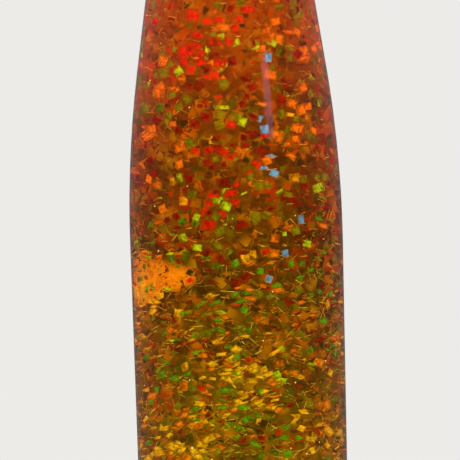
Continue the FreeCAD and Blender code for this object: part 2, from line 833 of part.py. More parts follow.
def make_bottle():
    wall, floor = size("glass_wall"), size("glass_floor")
    lip_bottom = glass_top - size("lip_height")
    neck_height = glass_top - size("neck_drop")
    neck, lip = size("neck_radius"), size("neck_radius") + size("lip_step")
    mouth = neck - size("neck_wall")
    outer = [(0, glass_bottom + size("punt_rise")), (size("punt_radius"), glass_bottom)]
    outer += bottle_side(NOTHING, NOTHING)
    outer += [
        (size("shoulder_radius"), shoulder_height, size("shoulder_round")),
        (neck, neck_height, size("neck_round")),
        (neck, lip_bottom),
        (lip, lip_bottom + size("lip_slant")),
        (lip, glass_top, size("lip_round")),
        (0, glass_top),
    ]
    inner = [(0, glass_bottom + size("punt_rise") + floor), (size("punt_radius"), glass_bottom + floor)]
    inner += bottle_side(wall, floor)
    inner += [
        (size("shoulder_radius") - wall, shoulder_height, size("shoulder_round") - wall),
        (mouth, neck_height, size("neck_round")),
        (mouth, glass_top),
        (0, glass_top),
    ]
    node(lathe("glass_bottle", outer, inner))

    low = glass_bottom + size("seat_rise")
    high = low + size("seat_height")
    gap = size("seat_gap")
    node(lathe("seat_ring", [
        (foot_cone_radius(low) + gap, low),
        (flare_radius(low, size("base_wall")), low),
        (flare_radius(high, size("base_wall")), high),
        (foot_cone_radius(high) + gap, high),
    ]))

    liquid = [(0, glass_bottom + size("punt_rise") + floor), (size("punt_radius"), glass_bottom + floor)]
    liquid += bottle_side(wall, floor)
    liquid += [(cone_radius(liquid_top, wall), liquid_top), (0, liquid_top)]
    node(lathe("liquid", liquid))
    make_flakes()


# Turns in degrees about three axes from each flake to the next
FLAKE_TURNS = (137.5, 77.0, 51.0)


def make_flakes():
    """Square flakes spread evenly through the liquid, each tilted its own way."""
    golden = (math.sqrt(5) - 1) / 2
    silver = math.sqrt(2) - 1
    margin = number(size("flake_margin"))
    wall = number(size("glass_wall"))
    side, thick = number(size("flake_side")), number(size("flake_thickness"))
    half_diagonal = side / math.sqrt(2)
    low = number(glass_bottom + size("glass_floor") + size("punt_rise")) + margin
    high = number(liquid_top) - margin
    total = count("flake_count")
    solids = []
    for index in range(total):
        height = low + (high - low) * (index + 0.5) / total
        level = Size(height, "0")
        cones = cone_radius(level, NOTHING), foot_cone_radius(level), waistline_radius
        room = min(number(radius) for radius in cones)
        reach = (room - wall - half_diagonal - margin / 2) * math.sqrt((index * silver) % 1.0)
        way = 2 * math.pi * ((index * golden) % 1.0)
        flake = Part.makeBox(side, side, thick, FreeCAD.Vector(-side / 2, -side / 2, -thick / 2))
        tilt = FreeCAD.Rotation(*(index * turn % 360 for turn in FLAKE_TURNS))
        spot = FreeCAD.Vector(reach * math.cos(way), reach * math.sin(way), height)
        flake.Placement = FreeCAD.Placement(spot, tilt)
        solids.append(flake)
    made = doc.addObject("Part::Feature", "glitter_flakes")
    made.Shape = Part.makeCompound(solids)
    node(made)


# Crown cap with its liner, and the spun cap with its seat ring
def make_top():
    lip = size("neck_radius") + size("lip_step")
    liner_top = glass_top + size("liner_thickness")
    inside = lip + size("crown_gap")
    node(lathe("crown_liner", [(0, glass_top), (lip, glass_top), (lip, liner_top), (0, liner_top)]))
    wall = size("crown_wall")
    crown_top = liner_top + wall
    skirt = crown_top - size("crown_height")
    node(lathe("crown_cap", [
        (0, liner_top),
        (inside, liner_top),
        (inside, skirt + size("crown_skirt")),
        (inside + size("crown_flare"), skirt),
        (inside + size("crown_flare") + wall, skirt),
        (inside + wall, skirt + size("crown_skirt")),
        (inside + wall, crown_top, size("crown_round")),
        (0, crown_top),
    ]))

    rim = glass_top - size("cap_drop")
    top = rim + size("cap_height")
    bead = size("cap_bead_radius")
    thin = size("cap_wall")
    radius, small = cone_radius(rim, NOTHING) + size("cap_rim_gap") + thin, size("cap_top_radius")
    slope = (radius - small) / size("cap_height")
    node(lathe("top_cap", [
        (0, rim),
        (radius + bead, rim, size("cap_bead_round")),
        (radius + bead, rim + bead * 2, size("cap_bead_round")),
        (radius - slope * bead * 2, rim + bead * 2),
        (small, top, size("cap_edge_round")),
        (0, top),
    ], [
        (0, rim),
        (radius - thin, rim),
        (small - thin, top - thin, size("cap_edge_round") - thin),
        (0, top - thin),
    ]))

    low = rim + size("cap_ring_rise")
    high = low + size("cap_ring_height")
    inner_slope = (radius - small) / (size("cap_height") - thin)
    node(lathe("cap_ring", [
        (cone_radius(low, NOTHING) + size("seat_gap"), low),
        (radius - thin - inner_slope * (low - rim), low),
        (radius - thin - inner_slope * (high - rim), high),
        (cone_radius(high, NOTHING) + size("seat_gap"), high),
    ]))


# Switch: a housing snapped into the band of the shell, two tabs and a rocker
def make_switch():
    radius = size("base_radius")
    middle = switch_middle
    bezel_half = size("bezel_height") / 2
    face = radius + size("bezel_thickness")
    depth = size("bezel_thickness") + size("base_wall") * CUTTER_WALLS
    bezel = block("bezel_blank", depth, size("bezel_width"), size("bezel_height"),
                  face - depth / 2, NOTHING, middle - bezel_half)
    inside_base = rod("bezel_saddle", radius, size("bezel_height") * 2, 0, 0, middle - size("bezel_height"))
    saddle = cut("bezel", bezel, [inside_base])
    body = block("switch_body", size("switch_depth"), size("switch_width"), size("switch_body_height"),
                 radius - size("switch_depth") / 2, NOTHING, middle - size("switch_body_height") / 2)
    solid = fuse("switch_solid", [saddle, body])
    pivot = face - size("rocker_pivot_depth")
    pocket_total = size("pocket_depth") + size("bezel_thickness")
    pocket = block("switch_pocket", pocket_total, size("pocket_width"), size("pocket_height"),
                   face - size("pocket_depth") / 2 + size("bezel_thickness") / 2, NOTHING,
                   middle - size("pocket_height") / 2)
    pin_room = size("pocket_height") / 2 + size("pin_length") + size("pin_play")
    hole = rod("pin_hole", size("pin_radius") + size("pin_play"), pin_room * 2, pivot, 0, middle - pin_room)
    housing = cut("switch_housing", solid, [pocket, hole])
    node(place(housing, 0, 0, 0, (0, 0, 1), size("switch_angle")))

    tabs = [block(f"switch_tab_{name}", size("tab_length"), size("tab_thickness"), size("tab_width"),
                  radius - size("switch_depth") - size("tab_length") / 2, size("tab_spread") * side,
                  middle - size("tab_width") / 2)
            for side, name in ((1, "one"), (-1, "two"))]
    node(place(group("switch_tabs", tabs), 0, 0, 0, (0, 0, 1), size("switch_angle")))

    half = size("pocket_width") / 2 - size("rocker_side_play")
    height = size("pocket_height") - size("rocker_play") * 2
    rise, root, edge = size("rocker_rise"), size("rocker_root"), size("rocker_round")
    key = slab("rocker_key", [
        (-size("rocker_depth"), -root, edge),
        (rise, -half, edge),
        (rise - size("rocker_hollow"), 0),
        (rise, half, edge),
        (-size("rocker_depth"), root, edge),
    ], height, -(height / 2))
    pin_half = size("pocket_height") / 2 + size("pin_length")
    pin = rod("rocker_pin", size("pin_radius"), pin_half * 2, 0, 0, -pin_half)
    tipped = fuse("rocker_key_and_pin", [key, pin])
    place(tipped, pivot, 0, middle, (0, 0, 1), size("rocker_tilt"))
    node(place(group("rocker", [tipped]), 0, 0, 0, (0, 0, 1), size("switch_angle")))


# Grommet in the back of the band
def make_grommet():
    outside, seat = size("base_radius"), shell_inside - size("grommet_seat")
    bore, hub = size("grommet_bore"), size("grommet_hub")
    flange, thick = size("grommet_flange"), size("grommet_flange_thickness")
    edge, lip_edge = size("grommet_round"), size("grommet_lip_round")
    bush = lathe("cable_grommet", [
        (bore, seat - thick, edge),
        (flange, seat - thick, edge),
        (flange, seat),
        (hub, seat),
        (hub, outside),
        (flange, outside),
        (flange, outside + thick, lip_edge),
        (bore, outside + thick, edge),
    ])
    node(place(bush, 0, 0, grommet_middle, (1, 0, 0), -90))


# Lead from the inner tab of the switch to the lampholder's right terminal
def make_wiring():
    angle = math.radians(number(size("switch_angle")))
    tab_end = size("base_radius") - size("switch_depth") - size("tab_length")
    terminal_height = holder_bottom + size("holder_floor") + size("terminal_size") / 2

    def at_switch(outward, sideways):
        return (outward * math.cos(angle) - sideways * math.sin(angle),
                outward * math.sin(angle) + sideways * math.cos(angle), switch_middle)

    node(tube("switch_lead", [
        at_switch(tab_end, -size("tab_spread")),
        at_switch(tab_end - size("lead_exit"), -size("tab_spread")),
        (core_radius + size("lead_run"), NOTHING, terminal_height),
        (core_radius, NOTHING, terminal_height),
    ], size("lead_radius")))


make_base_shell()
make_bottom()
make_bracket()
make_holder()
make_bulb()
make_bottle()
make_top()
make_switch()
make_grommet()
make_wiring()
doc.recompute()

# Every object has to be sound before anything is written
for thing in doc.Objects:
    if "Invalid" in thing.State or "Error" in thing.State:
        raise RuntimeError(f"{thing.Label} failed: {thing.State}")
for piece in NODES:
    if piece.Shape.isNull() or not piece.Shape.isValid() or not piece.Shape.Solids:
        raise RuntimeError(f"{piece.Label} has no valid solid")

os.makedirs("parts", exist_ok=True)
for piece in NODES:
    piece.Shape.exportStep(f"parts/{piece.Label}.step")
    box = piece.Shape.BoundBox
    print(f"{piece.Label}: {len(piece.Shape.Solids)} solids, {piece.Shape.Volume:.1f} mm3, "
          f"z {box.ZMin:.2f} to {box.ZMax:.2f}")
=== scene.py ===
# %% [markdown]
# # A glitter lamp, dressed for the camera
# The CAD model already holds every hard piece of the lamp at its true size: the spun base, the bulb and its holder, the
# glass bottle and the cap. This lesson gives them their finishes and adds what CAD leaves out: some thousands of small
# flakes, the liquid as light sees it, and the pressed flutes of the crown cap.

import math

import bpy
import numpy as np
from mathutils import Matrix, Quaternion, Vector


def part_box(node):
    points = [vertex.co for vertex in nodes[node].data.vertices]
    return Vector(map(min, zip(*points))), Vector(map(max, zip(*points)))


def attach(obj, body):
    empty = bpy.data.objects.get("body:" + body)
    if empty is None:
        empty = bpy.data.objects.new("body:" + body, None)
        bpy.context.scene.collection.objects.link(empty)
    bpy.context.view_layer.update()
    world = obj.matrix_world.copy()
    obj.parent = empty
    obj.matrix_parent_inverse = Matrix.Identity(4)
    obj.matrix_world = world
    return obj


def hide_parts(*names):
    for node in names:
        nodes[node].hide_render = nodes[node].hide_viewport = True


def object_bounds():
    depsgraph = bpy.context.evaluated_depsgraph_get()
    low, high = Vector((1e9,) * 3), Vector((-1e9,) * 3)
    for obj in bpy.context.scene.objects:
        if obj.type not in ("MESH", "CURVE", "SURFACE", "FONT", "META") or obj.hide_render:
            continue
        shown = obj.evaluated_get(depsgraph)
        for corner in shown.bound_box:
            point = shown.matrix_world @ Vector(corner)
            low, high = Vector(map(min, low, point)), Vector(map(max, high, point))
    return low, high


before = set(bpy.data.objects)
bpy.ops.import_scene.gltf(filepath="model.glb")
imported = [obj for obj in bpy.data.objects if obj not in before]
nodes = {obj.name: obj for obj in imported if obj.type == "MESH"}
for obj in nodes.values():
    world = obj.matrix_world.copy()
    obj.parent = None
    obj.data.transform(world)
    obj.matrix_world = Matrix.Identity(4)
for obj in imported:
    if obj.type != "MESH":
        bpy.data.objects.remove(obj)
box_at_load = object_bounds()
print("box of the packed model:", [tuple(round(value, 4) for value in corner) for corner in box_at_load])

# %% [markdown]
# Shader maths is easier to read as a sum than as a chain of nodes. A small class can wrap an output socket, so that
# `0.3 + grain * 0.1` adds the Math nodes by itself, and one method can make every other node.

# %% Shader sums
class Wire:
    """The output socket of a node. A sum on it adds Math nodes."""

    def __init__(self, tree, socket):
        self.tree = tree
        self.socket = socket

    def math(self, operation, first, second=0.0):
        return self.tree.node("ShaderNodeMath", {"operation": operation}, {0: first, 1: second})

    def __add__(self, other):
        return self.math("ADD", self, other)

    def __radd__(self, other):
        return self.math("ADD", other, self)

    def __sub__(self, other):
        return self.math("SUBTRACT", self, other)

    def __rsub__(self, other):
        return self.math("SUBTRACT", other, self)

    def __mul__(self, other):
        return self.math("MULTIPLY", self, other)

    def __truediv__(self, other):
        return self.math("DIVIDE", self, other)

    def root(self):
        return self.math("SQRT", self)

    def size(self):
        return self.math("ABSOLUTE", self)

    def most(self, other):
        return self.math("MAXIMUM", self, other)

    def parts(self):
        """All outputs of the node that this output belongs to."""
        return [Wire(self.tree, output) for output in self.socket.node.outputs]

    def over(self, edge, width):
        """0 below the edge and 1 above it, over a soft step of the given width."""
        return self.tree.node("ShaderNodeMapRange", {"interpolation_type": "SMOOTHSTEP"},
                               {"Value": self, "From Min": edge - width / 2, "From Max": edge + width / 2})


# %% [markdown]
# Nearly every finish is one Principled shader, fed by noises, masks and colour ramps. Two small classes hold a tree of
# nodes and a material, so that each finish below is a short recipe.

# %% Trees and paints
class Tree:
    """Makes the nodes of a material or of the world."""

    def __init__(self, tree):
        self.tree = tree

    def fill(self, node, sockets):
        for name, amount in sockets.items():
            socket = node.inputs[name]
            if isinstance(amount, Wire):
                self.tree.links.new(amount.socket, socket)
            elif socket.type == "RGBA":
                socket.default_value = (*amount, 1.0)
            else:
                socket.default_value = amount

    def node(self, kind, settings=None, sockets=None, output=0):
        made = self.tree.nodes.new(kind)
        for word, setting in (settings or {}).items():
            setattr(made, word, setting)
        self.fill(made, sockets or {})
        return Wire(self, made.outputs[output])

    def mix(self, factor, one, other):
        """A colour between two colours."""
        return self.node("ShaderNodeMix", {"data_type": "RGBA"}, {0: factor, 6: one, 7: other}, output=2)

    def toned(self, factor, stops):
        """A colour from a ramp. Each stop is a position and a colour."""
        made = self.node("ShaderNodeValToRGB", {}, {"Fac": factor})
        elements = made.socket.node.color_ramp.elements
        elements.remove(elements[-1])
        elements[0].position = stops[0][0]
        elements[0].color = (*stops[0][1], 1.0)
        for position, colour in stops[1:]:
            elements.new(position).color = (*colour, 1.0)
        return made

    def end(self, wire, node, socket="Surface"):
        """Joins a wire to the last node."""
        self.tree.links.new(wire.socket, self.tree.nodes[node].inputs[socket])


class Paint(Tree):
    """A material with one Principled shader, whose plain settings are given by their socket names."""

    def __init__(self, name, settings):
        self.material = bpy.data.materials.new(name)
        self.material.use_nodes = True
        super().__init__(self.material.node_tree)
        self.shader = self.tree.nodes["Principled BSDF"]
        self.fill(self.shader, settings)
        self.place = self.node("ShaderNodeTexCoord", output="Object")

    def noise(self, scale, detail=2.0, roughness=0.5, place=None):
        return self.node("ShaderNodeTexNoise", {}, {"Vector": place or self.place, "Scale": scale,
                                                    "Detail": detail, "Roughness": roughness})

    def axes(self, place=None):
        return self.node("ShaderNodeSeparateXYZ", {}, {"Vector": place or self.place}).parts()

    def profile(self):
        """A vector that holds the distance from the lamp's axis and the height, and is the same all the way round."""
        x, y, z = self.axes()
        radius = (x * x + y * y).root()
        return self.node("ShaderNodeCombineXYZ", {}, {"X": radius, "Y": z})

    def set(self, name, wire):
        self.fill(self.shader, {name: wire})

    def absorb(self, colour, density):
        """Light that passes through the piece takes this colour, by the length of its way."""
        inside = self.node("ShaderNodeVolumeAbsorption", {}, {"Color": colour, "Density": density})
        self.end(inside, "Material Output", "Volume")

    def bump(self, height, strength, distance):
        self.set("Normal", self.node("ShaderNodeBump", {}, {"Height": height, "Strength": strength,
                                                            "Distance": distance}))


def finish_node(name, paint):
    """Puts a material on a CAD piece."""
    for slot in nodes[name].material_slots:
        slot.material = paint.material


print(len(nodes), "CAD pieces wait for their finish")

# %% [markdown]
# The bottle is photographed from about a metre away, almost level with its middle, and the picture leans by a degree
# and a half. A camera can be placed by eye, but here its distance, field and height are worked out, so that one pixel
# is a known length on the bottle.

# %% Camera
PICTURE = 460  # pixels across
FIELD = 0.1725  # what the picture spans at the bottle's axis, in metres
DISTANCE = 1.0
NEAREST = 0.01
ELEVATION = math.radians(1.6)
LEAN = math.radians(1.6)
AXIS_PIXEL = 236.2  # where the bottle's axis crosses the level below
LEVEL_PIXEL = 240.0
LEVEL_HEIGHT = 0.1973
pixel = FIELD / PICTURE

camera_data = bpy.data.cameras.new("lamp_camera")
camera_data.lens = camera_data.sensor_width * DISTANCE / FIELD
camera_data.clip_start = NEAREST
camera = bpy.data.objects.new("lamp_camera", camera_data)
bpy.context.scene.collection.objects.link(camera)
aim = Vector(((PICTURE / 2 - AXIS_PIXEL) * pixel, 0.0, LEVEL_HEIGHT + (LEVEL_PIXEL - PICTURE / 2) * pixel))
back = Vector((0.0, -math.cos(ELEVATION), math.sin(ELEVATION)))
camera.location = aim + back * DISTANCE
camera.rotation_mode = "QUATERNION"
camera.rotation_quaternion = (-back).to_track_quat("-Z", "Y") @ Quaternion((0.0, 0.0, 1.0), -LEAN)
bpy.context.scene.camera = camera
bpy.context.scene.view_settings.view_transform = "Standard"
print(f"one pixel is {pixel * 1000:.3f} mm on the bottle's axis")

# %% [markdown]
# A plain studio starts with a pale floor that takes the lamp's shadow. Far out it glows in the background's colour, so
# that no line shows where they meet. The glass would mirror that glow, so a mirrored ray sees it dimmed.

# %% Floor
FLOOR_SIZE = 60.0
BACKGROUND = (0.84, 0.83, 0.81)
FLOOR_SHADE = (0.8, 0.79, 0.77)
EYE_LEVEL = 0.17
SHADOW_REACH, SHADOW_BLEND = 0.75, 0.6

bpy.ops.object.select_all(action="DESELECT")
bpy.ops.mesh.primitive_plane_add(size=FLOOR_SIZE, location=(0, 0, 0))
floor = bpy.context.object
floor.name = "floor"
floor_paint = Paint("pale_floor", {"Roughness": 0.7})
floor_paint.set("Base Color", floor_paint.mix(floor_paint.noise(6.0, 3.0), FLOOR_SHADE, BACKGROUND))
across, along = floor_paint.axes()[:2]
far = (across * across + along * along).root().over(SHADOW_REACH, SHADOW_BLEND)
mirrored = floor_paint.node("ShaderNodeLightPath", output="Is Glossy Ray")
through = floor_paint.node("ShaderNodeLightPath", output="Is Transmission Ray")
dimmed = 1.0 - mirrored * (1.0 - through) * (1.0 - EYE_LEVEL)
glow = floor_paint.node("ShaderNodeEmission", {}, {"Color": BACKGROUND, "Strength": dimmed})
ground = Wire(floor_paint, floor_paint.shader.outputs[0])
floor_paint.end(floor_paint.node("ShaderNodeMixShader", {}, {0: far, 1: ground, 2: glow}), "Material Output")
floor.data.materials.append(floor_paint.material)
print("the floor glows like the background from", SHADOW_REACH, "m outwards")

# %% [markdown]
# Walls would stand in the way of a camera that goes round the lamp, so the room is only the world's light: bright
# overhead, and dim at eye level, where the glass mirrors it. The camera sees the plain background instead.

# %% Room light
OVERHEAD = 1.15
OVERHEAD_FROM = 0.75  # the upward part of a direction at which the full light is reached
ROOM_WHITE = (1.0, 0.99, 0.97)

world = bpy.data.worlds.new("studio")
world.use_nodes = True
bpy.context.scene.world = world
room = Tree(world.node_tree)
way_up = room.node("ShaderNodeSeparateXYZ", {}, {0: room.node("ShaderNodeTexCoord", output="Generated")}, output="Z")
brightness = room.node("ShaderNodeMapRange", {"interpolation_type": "SMOOTHSTEP"},
                       {"Value": way_up, "From Max": OVERHEAD_FROM, "To Min": EYE_LEVEL, "To Max": OVERHEAD})
lit_room = room.node("ShaderNodeBackground", {}, {"Color": ROOM_WHITE, "Strength": brightness})
seen_room = room.node("ShaderNodeBackground", {}, {"Color": BACKGROUND})
seen = room.node("ShaderNodeLightPath", output="Is Camera Ray").most(
    room.node("ShaderNodeLightPath", output="Is Transmission Ray"))
room.end(room.node("ShaderNodeMixShader", {}, {0: seen, 1: lit_room, 2: seen_room}), "World Output")
print("room light", EYE_LEVEL, "at eye level and", OVERHEAD, "overhead")

# %% [markdown]
# Two large soft boxes give the metal its shine, and a small one at the right front gives the glass the purple streak of
# a window. A helper works out the watts from how bright the face of a box should look.

# %% Lamps
def lamp(name, brightness, size, place, target, colour=(1.0, 1.0, 1.0)):
    """A square soft box. Its power comes from how bright its face should look."""
    data = bpy.data.lights.new(name, "AREA")
    data.shape = "RECTANGLE"
    data.size, data.size_y = size
    data.color = colour
    data.energy = brightness * math.pi * size[0] * size[1]
    made = bpy.data.objects.new(name, data)
    bpy.context.scene.collection.objects.link(made)
    made.location = place
    made.rotation_mode = "QUATERNION"
    made.rotation_quaternion = (Vector(target) - Vector(place)).to_track_quat("-Z", "Y")
    print(name, "gives", round(data.energy, 2), "watts")


middle = (box_at_load[0] + box_at_load[1]) / 2
lamp("key_lamp", brightness=4.0, size=(1.0, 1.0), place=(-1.1, -1.2, 2.0), target=middle)
lamp("fill_lamp", brightness=2.5, size=(1.0, 1.0), place=(1.5, 0.9, 2.0), target=middle)
lamp("window_strip", brightness=6.5, size=(0.24, 0.26), place=(0.98, -1.13, 0.6), target=(0.0, 0.0, 0.25),
     colour=(0.8, 0.78, 1.0))

# %% [markdown]
# The base and the cap are sheet metal that was pushed over a form on a lathe, and the tool leaves fine rings all
# round. A noise that reads only the distance from the axis and the height gives such rings on any turned shape. It
# moves roughness and surface together, which makes spun metal shimmer.

# %% Spun metal
RING_SCALE, CLOUD_SCALE = 1600.0, 38.0
RING_DEPTH = 0.00012


def spun_metal(name, dark, pale):
    paint = Paint(name, {"Metallic": 1.0})
    ring = paint.noise(RING_SCALE, 3.0, 0.6, paint.profile())
    cloud = paint.noise(CLOUD_SCALE, 3.0)
    paint.set("Base Color", paint.mix(ring * 0.6 + cloud * 0.4, dark, pale))
    paint.set("Roughness", 0.2 + ring * 0.16 + cloud * 0.06)
    paint.bump(ring, 0.25, RING_DEPTH)
    return paint


spun = spun_metal("spun_aluminium", (0.58, 0.58, 0.59), (0.8, 0.8, 0.8))
for name in ("base_shell", "top_cap"):
    finish_node(name, spun)
    print(name, "is spun aluminium")

# %% [markdown]
# Small pressed and turned parts are mostly plated or bare metal. They differ in colour and in how even the finish is,
# so one function can make them all: a cloudy tone, fine scratches and a little roughness.

# %% Plain metals
TARNISH_SCALE, SCRATCH_SCALE = 140.0, 900.0
SCRATCH_DEPTH = 0.00006


def small_metal(name, dark, pale, roughness):
    paint = Paint(name, {"Metallic": 1.0})
    cloud = paint.noise(TARNISH_SCALE, 4.0, 0.6)
    scratch = paint.noise(SCRATCH_SCALE, 2.0, 0.7)
    paint.set("Base Color", paint.mix(cloud, dark, pale))
    paint.set("Roughness", roughness + cloud * 0.12 + scratch * 0.08)
    paint.bump(scratch, 0.12, SCRATCH_DEPTH)
    return paint


# name: dark tone, pale tone, roughness, and the pieces that get it. The tin is for the crown cap, made further on
METALS = {
    "plated_steel": ((0.5, 0.52, 0.55), (0.7, 0.72, 0.74), 0.26,
                     ["bottom_plate", "plate_lugs", "holder_bracket", "holder_nipple", "holder_nut"]),
    "screw_steel": ((0.44, 0.43, 0.42), (0.62, 0.61, 0.6), 0.3, ["plate_screws", "terminal_screws"]),
    "rivet_aluminium": ((0.6, 0.6, 0.61), (0.76, 0.76, 0.77), 0.34, ["bracket_rivets"]),
    "brass": ((0.58, 0.38, 0.14), (0.8, 0.6, 0.26), 0.24,
              ["screw_sleeve", "holder_terminals", "centre_contact", "switch_tabs"]),
    "tinplate": ((0.62, 0.6, 0.55), (0.82, 0.8, 0.76), 0.22, []),
    "bulb_cap_metal": ((0.6, 0.59, 0.57), (0.8, 0.79, 0.77), 0.22, ["bulb_cap"]),
    "solder": ((0.38, 0.38, 0.39), (0.58, 0.58, 0.6), 0.4, ["bulb_contact"]),
    "nickel_wire": ((0.45, 0.43, 0.4), (0.62, 0.6, 0.57), 0.3, ["filament_wires"]),
}
metals = {}
for name, (dark, pale, roughness, pieces) in METALS.items():
    metals[name] = small_metal(name, dark, pale, roughness)
    for piece in pieces:
        finish_node(piece, metals[name])
    print(name, "on", ", ".join(pieces) or "no CAD piece")

# %% [markdown]
# Rubber, moulded plastic and glazed ceramic are not metal, so their colour stays the same from every side. What tells
# them apart is the grain: rubber is dull and dusty, moulded plastic carries the fine grain of its mould, and a glaze is
# smooth with a slow unevenness.

# %% Rubber, plastic, ceramic and felt
def moulded(name, dark, pale, roughness, grain, depth, extra=None):
    """Rubber, plastic, felt or glaze. The grain is finer the higher its number, and its depth is in metres."""
    paint = Paint(name, extra or {})
    cloud = paint.noise(60.0, 3.0)
    fine = paint.noise(grain, 2.0, 0.6)
    paint.set("Base Color", paint.mix(cloud * 0.6 + fine * 0.4, dark, pale))
    paint.set("Roughness", roughness + fine * 0.16)
    paint.bump(fine, 0.3, depth)
    return paint


# piece: name of the finish, dark tone, pale tone, roughness, grain, depth of the grain
MOULDED = {
    "feet": ("foot_rubber", (0.02, 0.02, 0.021), (0.045, 0.044, 0.043), 0.62, 1500.0, 0.00012),
    "cable_grommet": ("grommet_rubber", (0.022, 0.022, 0.022), (0.04, 0.04, 0.04), 0.56, 1700.0, 0.00008),
    "seat_ring": ("seat_silicone", (0.66, 0.66, 0.63), (0.76, 0.76, 0.73), 0.4, 900.0, 0.00004),
    "cap_ring": ("cap_felt", (0.025, 0.024, 0.026), (0.09, 0.088, 0.092), 0.84, 2600.0, 0.0004, {"Sheen Weight": 0.5}),
    "holder_body": ("holder_moulding", (0.016, 0.014, 0.013), (0.034, 0.03, 0.027), 0.24, 700.0, 0.00003),
    "holder_core": ("holder_ceramic", (0.74, 0.71, 0.64), (0.84, 0.81, 0.75), 0.16, 160.0, 0.00006),
    "switch_housing": ("switch_black", (0.018, 0.018, 0.019), (0.032, 0.032, 0.033), 0.34, 2400.0, 0.00006),
    "rocker": ("rocker_black", (0.014, 0.014, 0.015), (0.024, 0.024, 0.025), 0.16, 1200.0, 0.00002),
    "crown_liner": ("liner_plastic", (0.62, 0.66, 0.66), (0.72, 0.75, 0.75), 0.34, 800.0, 0.00003),
    "switch_lead": ("lead_sleeve", (0.5, 0.47, 0.42), (0.66, 0.63, 0.57), 0.5, 1900.0, 0.00012),
    "bulb_insulator": ("black_glass", (0.008, 0.008, 0.01), (0.016, 0.016, 0.02), 0.06, 300.0, 0.00001),
}
for piece, finish in MOULDED.items():
    finish_node(piece, moulded(*finish))
print(len(MOULDED), "pieces of rubber, plastic, felt or ceramic are finished")

# %% [markdown]
# The bulb throws its light upwards: its cone is silvered inside and its face is frosted. One material can hold both,
# because a metallic surface lets no light through, and so a mask by height turns the clear face into a mirror below.

# %% Bulb glass
FACE_DEPTH, SILVER_BLEND = 0.013, 0.002
WARM_RIM, WARM_BLEND = 0.011, 0.013
bulb_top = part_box("bulb_glass")[1].z
bulb_paint = Paint("bulb_glass", {"Transmission Weight": 0.8, "IOR": 1.5, "Emission Strength": 1.1})
x, y, height = bulb_paint.axes()
rim = (x * x + y * y).root().over(WARM_RIM, WARM_BLEND)
face = height.over(bulb_top - FACE_DEPTH, SILVER_BLEND)
frost = bulb_paint.noise(1500.0, 2.0)
bulb_paint.set("Metallic", 1.0 - face)
bulb_paint.set("Roughness", 0.12 + face * (0.25 + frost * 0.12))
bulb_paint.set("Base Color", bulb_paint.mix(face, (0.82, 0.82, 0.84), (0.92, 0.78, 0.6)))
bulb_paint.set("Emission Color", bulb_paint.mix(
    face, (0.0, 0.0, 0.0), bulb_paint.mix(rim, (1.0, 0.8, 0.46), (0.8, 0.38, 0.11))))
finish_node("bulb_glass", bulb_paint)
print("the bulb is frosted from", round(bulb_top - FACE_DEPTH, 4), "m up and silvered below")

# %% [markdown]
# Inside the bulb a glass stem holds the coiled wire. The stem is clear with a slight green cast, and the wire glows: it
# gives off light by itself, unevenly, because some turns of the coil are hotter than others.

# %% Stem and filament
stem_paint = Paint("stem_glass", {"Transmission Weight": 0.9, "IOR": 1.5})
stem_paint.set("Base Color", stem_paint.mix(stem_paint.noise(200.0), (0.86, 0.92, 0.88), (0.96, 0.98, 0.96)))
stem_paint.set("Roughness", 0.04 + stem_paint.noise(90.0) * 0.05)
finish_node("bulb_stem", stem_paint)

coil_paint = Paint("tungsten", {"Metallic": 1.0, "Roughness": 0.4, "Emission Strength": 4.0})
turns = coil_paint.noise(2500.0, 1.0)
coil_paint.set("Base Color", coil_paint.mix(turns, (0.2, 0.19, 0.18), (0.42, 0.4, 0.38)))
coil_paint.set("Emission Color", coil_paint.mix(turns, (1.0, 0.42, 0.1), (1.0, 0.72, 0.36)))
finish_node("filament", coil_paint)

# %% [markdown]
# Under the spun cap, a crown cap closes the bottle, as on a drinks bottle. Its skirt is pressed into twenty-one flutes
# that grip the lip. It is drawn from the inside out, ring after ring, and then pinched in between the flutes.

# %% Crown cap with its flutes
FLUTES, POINTS_EACH = 21, 4
CROWN_WALL, CROWN_FLARE, CROWN_SKIRT, CROWN_ROUND = 0.0004, 0.0009, 0.0021, 0.0008
PINCHED_FLARE = 0.0001
ROUND_MIDDLE = 0.3  # how far the middle of a quarter round lies from its corner
SMOOTH_ANGLE = math.radians(50)
low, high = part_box("crown_cap")
outer = high.x - CROWN_FLARE
inner = outer - CROWN_WALL
ceiling = high.z - CROWN_WALL
rings = [
    (inner, low.z + CROWN_SKIRT), (inner + CROWN_FLARE, low.z), (outer + CROWN_FLARE, low.z),
    (outer, low.z + CROWN_SKIRT), (outer, high.z - CROWN_ROUND),
    (outer - CROWN_ROUND * ROUND_MIDDLE, high.z - CROWN_ROUND * ROUND_MIDDLE), (outer - CROWN_ROUND, high.z),
]
bpy.ops.object.select_all(action="DESELECT")
bpy.ops.mesh.primitive_circle_add(vertices=FLUTES * POINTS_EACH, radius=inner, fill_type="NGON",
                                  location=(0, 0, ceiling))
crown = bpy.context.object
crown.name = "crown_cap_fluted"
bpy.ops.object.transform_apply(location=True, rotation=False, scale=False)
bpy.ops.object.mode_set(mode="EDIT")
radius, height = inner, ceiling
for new_radius, new_height in rings:
    grow = new_radius / radius
    bpy.ops.mesh.extrude_region_move(TRANSFORM_OT_translate={"value": (0, 0, new_height - height)})
    bpy.ops.transform.resize(value=(grow, grow, 1.0), center_override=(0, 0, new_height))
    radius, height = new_radius, new_height
bpy.ops.mesh.select_all(action="SELECT")
bpy.ops.mesh.normals_make_consistent(inside=False)
bpy.ops.mesh.select_all(action="DESELECT")
bpy.ops.object.mode_set(mode="OBJECT")
for vertex in crown.data.vertices:
    turned = math.atan2(vertex.co.y, vertex.co.x) / (2 * math.pi)
    step = round(turned * FLUTES * POINTS_EACH) % POINTS_EACH
    vertex.select = vertex.co.z < low.z + CROWN_WALL and step < POINTS_EACH // 2
bpy.ops.object.mode_set(mode="EDIT")
